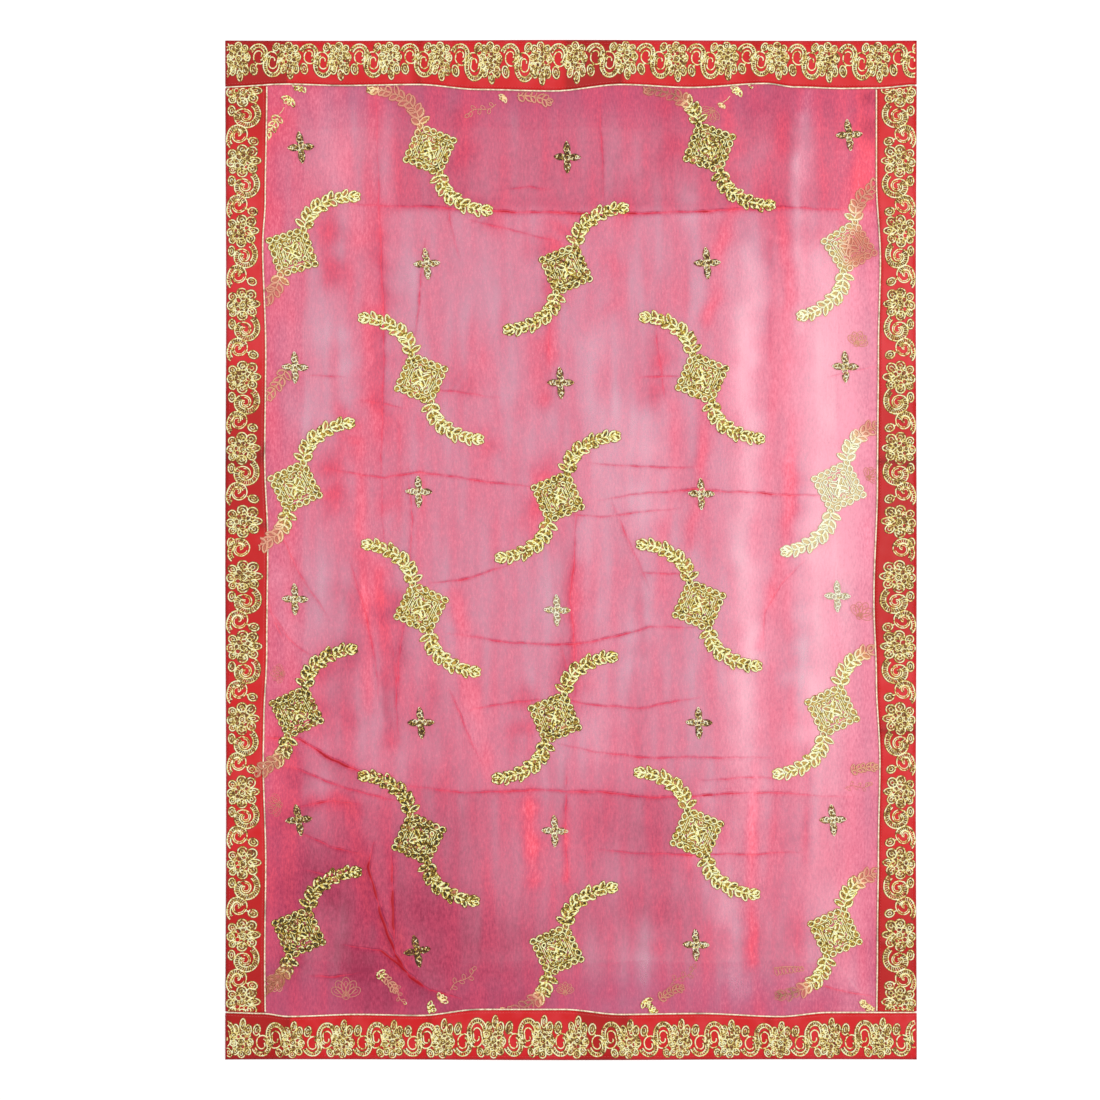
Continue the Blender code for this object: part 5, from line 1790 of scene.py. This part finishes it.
# The margin embroidery gets a little painted shade.
GHOST_SHINE = -0.10
GHOSTS = (
    # kind, x, y, turn, scale, how much the cloth veils it
    ("bud", -367, 633, -118, 0.9, 0.0), ("bud", -381, 614, -125, 0.9, 0.05),
    ("stem", -390, 602, -124, 0.5, 0.4), ("sprig", -398, 592, -105, 0.8, 0.2),
    ("sprig", -388, 246, -108, 1.0, 0.6), ("fan", -392, -168, 180, 1.1, 0.9),
    ("fan", -396, -346, 186, 1.3, 0.9), ("fan", -398, -586, 215, 1.1, 0.6),
    ("fan", 388, 280, 70, 1.2, 0.6), ("fan", 404, 98, 40, 1.1, 0.78), ("fan", 392, -90, 60, 1.4, 0.78),
    ("sprig", 380, -302, 30, 0.7, 0.6), ("vine", 372, -324, 8, 0.6, 0.9),
    ("sprig", 416, -628, 165, 0.5, 0.15), ("bud", -80, 638, -160, 0.9, 0.0),
    ("bud", -80, 632, -104, 0.8, 0.0), ("bud", -90, 616, -138, 0.6, 0.3),
    ("vine", -102, 606, -160, 0.72, 0.65), ("sprig", -74, 617, 8, 0.9, 0.62),
    ("comb", -70, 630, 4, 0.8, 0.75), ("bud", 246, 637, -150, 0.7, 0.0),
    ("bud", 228, 627, -130, 0.8, 0.0), ("stem", 216, 617, -138, 0.6, 0.2),
    ("bud", 206, 606, -120, 0.45, 0.25), ("fan", 192, 598, -120, 1.2, 0.75),
    ("fan", -306, -606, 90, 1.7, 0.75), ("sprig", -264, -574, -26, 0.7, 0.06),
    ("vine", -243, -588, -60, 0.55, 0.72), ("bud", -194, -624, 14, 0.85, 0.0),
    ("bud", -178, -612, 44, 0.8, 0.2), ("vine", -164, -598, 40, 0.74, 0.75),
    ("fan", -8, -602, 90, 1.0, 0.75), ("bud", 108, -628, 30, 0.8, 0.0),
    ("bud", 100, -612, -50, 0.8, 0.05), ("sprig", 120, -612, 48, 0.7, 0.72),
    ("vine", 134, -594, 38, 0.74, 0.85), ("comb", 276, -568, 2, 0.9, 0.7),
)


def draw_vine():
    """A curling stem with a looped leaf to each side in turn."""
    pattern = Pattern()
    x = np.linspace(0, 56, 26)
    pattern.cord(np.column_stack([x, 4 * np.sin(x / 9)]), GHOST_CORD)
    for k in range(6):
        root_x = 6 + 8.6 * k
        root = (root_x, 4 * math.sin(root_x / 9))
        pattern.ring(petal(*root, 10, 4.2, 60 if k % 2 else -60, 0.4, 11), GHOST_CORD, 0, False)
    pattern.ring(oval(59, 2, 4.4, 3.2, 10, 10), GHOST_CORD, 0, False)
    return pattern


def draw_bud():
    """Four short leaves from one root, closely filled."""
    pattern = Pattern()
    for k, heading in enumerate((-58, -20, 18, 55)):
        leaf(pattern, 0, 0, 14.0 - 1.5 * (k % 3), 4.6, heading, k - 1.5)
    return pattern


def draw_comb():
    """A stem with all its leaves hanging from one side."""
    pattern = Pattern()
    pattern.cord([(0, 0), (14, 1.5), (30, 1), (44, -1)], GHOST_CORD)
    for k in range(8):
        pattern.ring(petal(2 + 5.6 * k, 1, 13 - 0.8 * k, 3.4, -78, 0.3, 10), GHOST_CORD, 0, False)
    return pattern


def draw_fan():
    """A lotus: five petals round a ring, each with a loop in it."""
    pattern = Pattern()
    for k in range(5):
        reach, heading = 15 - abs(k - 2), 32 * (k - 2)
        pattern.ring(petal(0, 0, reach, 4.6, heading, 0.2, 12), GHOST_CORD, 0, False)
        tip = turned(np.array([[reach * 0.62, 0.0]]), heading)[0]
        pattern.ring(oval(*tip, 2.6, 1.3, heading, 7), GHOST_CORD * 0.8, 0, False)
    pattern.ring(oval(0, 0, 3, 3, 0, 8), GHOST_CORD, 0.1, False)
    return pattern


def pressed_through(x, y):
    """A cord sunk a little into the field: most of it stands out."""
    return cloth_height(x, y) - GHOST_SUNK * MM


def margin_veil(world):
    """The veil of the nearest piece of embroidery."""
    spots = np.array([(x * MM, y * MM) for _, x, y, *_ in GHOSTS])
    nearest = np.hypot(world[:, :1] - spots[:, 0], world[:, 1:2] - spots[:, 1]).argmin(axis=1)
    return np.array([row[-1] for row in GHOSTS])[nearest]


SPRIG_FIRST = 5
stem = Pattern()
stem.cord([(0, 0), (10, 1.5), (22, 0)], GHOST_CORD)
sprig_root, sprig_heading = spray_point(LEAF_SPOTS[SPRIG_FIRST] - STEM_LEAD)
ghost_patterns = {
    "sprig": moved(draw_spray(SPRIG_FIRST), *-sprig_root, -sprig_heading),
    "bud": draw_bud(),
    "stem": stem,
    "vine": draw_vine(),
    "comb": draw_comb(),
    "fan": draw_fan(),
}
laid = Laid(pressed_through, inside_seam(SEAM_REACH))
for kind, x, y, turn, scale, _ in GHOSTS:
    laid.lay(ghost_patterns[kind], placed(x, y, turn, scale=scale))
look = (lozenge_gold, lozenge_ground, 4, margin_veil, GHOST_SHINE)
under_embroidery = laid.make("margin_embroidery", *look)
print("margin embroidery:", triangles(under_embroidery), "triangles")

# %% [markdown]
# ## Piping and stitches
#
# The piping is a cord of two plies. Its tree copies the guide line twice and winds each copy round
# it. A second tree sets small stitches along a line: one row holds each piping down, and another
# holds each outer fold.

# %% The two trees
TWIST = 0.0042
PLY_OFFSET = 0.00056
PLY_RADIUS = 0.00074
PLY_STEP = 0.00105
STITCH_GAP = 0.0040
STITCH_LENGTH = 0.0026
STITCH_RADIUS = 0.00022
STITCH_SEAT = STITCH_RADIUS * 0.3


def twist_tree():
    numbers = dict.fromkeys(("Twist", "Offset", "Radius", "Step"), "Float")
    graph, wires = new_tree("twisted_piping", **numbers, Material="Material")
    guide = graph.geo("MeshToCurve", Mesh=wires["Geometry"])
    guide = graph.geo("ResampleCurve", {"mode": "LENGTH"}, Curve=guide, Length=wires["Step"])
    sideways = graph.vector("CROSS_PRODUCT", graph.geo("InputTangent"), (0.0, 0.0, 1.0))
    length = graph.geo("SplineParameter").output("Length")
    both = graph.geo("JoinGeometry")
    plies = []
    for ply in range(2):
        angle = length * (2 * math.pi) / wires["Twist"] + ply * math.pi
        level, rise = (angle.math(wave, angle) * wires["Offset"] for wave in ("COSINE", "SINE"))
        level = graph.node(
            "ShaderNodeVectorMath", {"operation": "SCALE"}, {0: sideways, "Scale": level}
        )
        rise = graph.node("ShaderNodeCombineXYZ", {}, {"Z": rise})
        shift = graph.vector("ADD", level, rise)
        plies.append(graph.geo("SetPosition", Geometry=guide, Offset=shift))
    for ply in plies:
        graph.put(both.socket.node.inputs["Geometry"], ply)
    return close_tree(graph, swept(graph, both, 5, wires["Radius"]), wires["Material"])


def stitch_tree():
    numbers = dict.fromkeys(("Gap", "Length", "Radius"), "Float")
    graph, wires = new_tree("running_stitch", **numbers, Material="Material")
    guide = graph.geo("MeshToCurve", Mesh=wires["Geometry"])
    spots = graph.geo("CurveToPoints", {"mode": "LENGTH"}, Curve=guide, Length=wires["Gap"])
    stitch = graph.geo("MeshCylinder", Vertices=4, Radius=wires["Radius"], Depth=wires["Length"])
    stitches = graph.geo(
        "InstanceOnPoints", Points=spots, Instance=stitch, Rotation=spots.output("Rotation")
    )
    return close_tree(graph, stitches, wires["Material"])


twisted_piping, running_stitch = twist_tree(), stitch_tree()

# %% Their finishes and lines
piping_finish = Finish("piping_cord", Metallic=0.15, Roughness=0.5)
pale = (piping_finish.noise(260.0, 3.0) * 3.0 - 0.75).clamped()
cream = piping_finish.mixed((0.50, 0.34, 0.18, 1.0), (1.0, 0.88, 0.66, 1.0), pale)
# Dark patches along the piping are painted shadow.
painted_shadow = (piping_finish.noise(26.0, 2.0) * 5.0 - 2.9).clamped(0.0, 0.75)
piping_finish.set("Base Color", piping_finish.mixed(cream, (0.30, 0.20, 0.14, 1.0), painted_shadow))
piping_finish.bump(piping_finish.noise(1800.0, 1.0), 0.0002, 0.5)
thread_finish = Finish("red_thread", Roughness=0.45, Sheen_Weight=0.2)
faded = thread_finish.noise(60.0)
red = thread_finish.mixed((0.50, 0.02, 0.03, 1.0), (0.78, 0.08, 0.09, 1.0), faded)
thread_finish.set("Base Color", red)

FINE_STEP = 0.004
PIPING_BUTT = 0.0024
SIDE_PIPING_POINTS = 310
STITCH_FROM_PIPING = 0.0040
STITCH_FROM_EDGE = 0.0052
END_STITCH_STOP = 0.004
SIDE_STITCH_STOP = 0.006


def piping_path(side, outward_shift=0.0):
    """Places along one band's piping, moved towards the cloth's outer edge."""
    if side in ENDS:
        places = np.arange(-PIPING_END, PIPING_END + FINE_STEP / 2, FINE_STEP)
    else:
        corner = np.array([SIGN[side] * SIDE_LINE])
        low, high = -piping_line("bottom", corner)[0], piping_line("top", corner)[0]
        places = np.linspace(low + PIPING_BUTT, high - PIPING_BUTT, SIDE_PIPING_POINTS)
    return np.column_stack(on_side(side, places, piping_line(side, places) + outward_shift))


def edge_path(side, inset):
    end = HALF_WIDTH - END_STITCH_STOP if side in ENDS else END_LINE - SIDE_STITCH_STOP
    places = np.arange(-end, end, FINE_STEP)
    return np.column_stack(on_side(side, places, outer_edge(side, places) - inset))


def make_piping(side):
    path = piping_path(side)
    points = np.column_stack([path, droop(*path.T) + PIPING_RADIUS])
    guide = mesh_object("piping_guide_" + side, points, edges=chain(len(points)))
    values = {
        "Twist": TWIST, "Offset": PLY_OFFSET, "Radius": PLY_RADIUS, "Step": PLY_STEP,
        "Material": piping_finish.material,
    }
    return run_tree("twisted_piping_" + side, guide, twisted_piping, values)


def make_stitches(side):
    rows = (piping_path(side, STITCH_FROM_PIPING), edge_path(side, STITCH_FROM_EDGE))
    xy = np.vstack(rows)
    points = np.column_stack([xy, satin_height(*xy.T, side) + STITCH_SEAT])
    edges = chain(len(rows[0])) + chain(len(rows[1]), len(rows[0]))
    guide = mesh_object("stitch_guide_" + side, points, edges=edges)
    values = {
        "Gap": STITCH_GAP, "Length": STITCH_LENGTH, "Radius": STITCH_RADIUS,
        "Material": thread_finish.material,
    }
    return run_tree("stitches_" + side, guide, running_stitch, values)


pipings = {side: make_piping(side) for side in FLOWERS}
stitches = {side: make_stitches(side) for side in FLOWERS}
print("piping:", {side: triangles(cord) for side, cord in pipings.items()})
print("stitches:", {side: triangles(row) for side, row in stitches.items()})

# %% [markdown]
# ## The table
#
# A plain, nearly white surface, just under the cloth.

# %% Making the table
corners = ((-1, -1), (1, -1), (1, 1), (-1, 1))
table_points = [(x * TABLE_HALF, y * TABLE_HALF, -TABLE_DROP) for x, y in corners]
table_top = mesh_object("table", table_points, [(0, 1, 2, 3)])
table_finish = Finish("table_white", Roughness=0.9, Base_Color=(0.96, 0.96, 0.96, 1.0))
table_top.data.materials.append(table_finish.material)

# %% [markdown]
# ## Which solid each piece stands for
#
# Nothing on the stole moves by itself, so every piece rides on the root.

# %% Putting each piece on the root in place of its solid
def declare(piece, slot, *nodes):
    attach(piece, "root")
    if nodes:
        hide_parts(*nodes)


declare(field, "sheer", "field")
for side, strip in margins.items():
    declare(strip, "sheer", "margin_" + side)
for side, band in bands.items():
    declare(band, "satin", "band_" + side)
    declare(stitches[side], "satin", "band_" + side)
    declare(laces[side], "cord", "band_" + side)
    declare(pipings[side], "piping", "piping_" + side)
for node, motif in motifs.items():
    declare(motif, "cord", node)
declare(under_embroidery, "cord")

whole = (2 * fold_line("right"), 2 * fold_line("top"))
for side, strip in margins.items():
    low, high = ends_of(side)
    fold_length, raw_length = 2 * fold_line(low), RAW_EDGE[low] + RAW_EDGE[high]
    depth = fold_line(side) - RAW_EDGE[side]
    depth * (fold_length + raw_length) / 2
for side, band in bands.items():
    long_side = 2 * (HALF_WIDTH if side in ENDS else END_LINE)
    width = half_size(side) - straight_line(side)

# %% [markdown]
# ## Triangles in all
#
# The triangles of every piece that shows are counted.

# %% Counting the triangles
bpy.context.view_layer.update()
shown = [made for made in bpy.data.objects if made.type == "MESH" and not made.hide_render]
print("triangles in all:", sum(triangles(made) for made in shown))
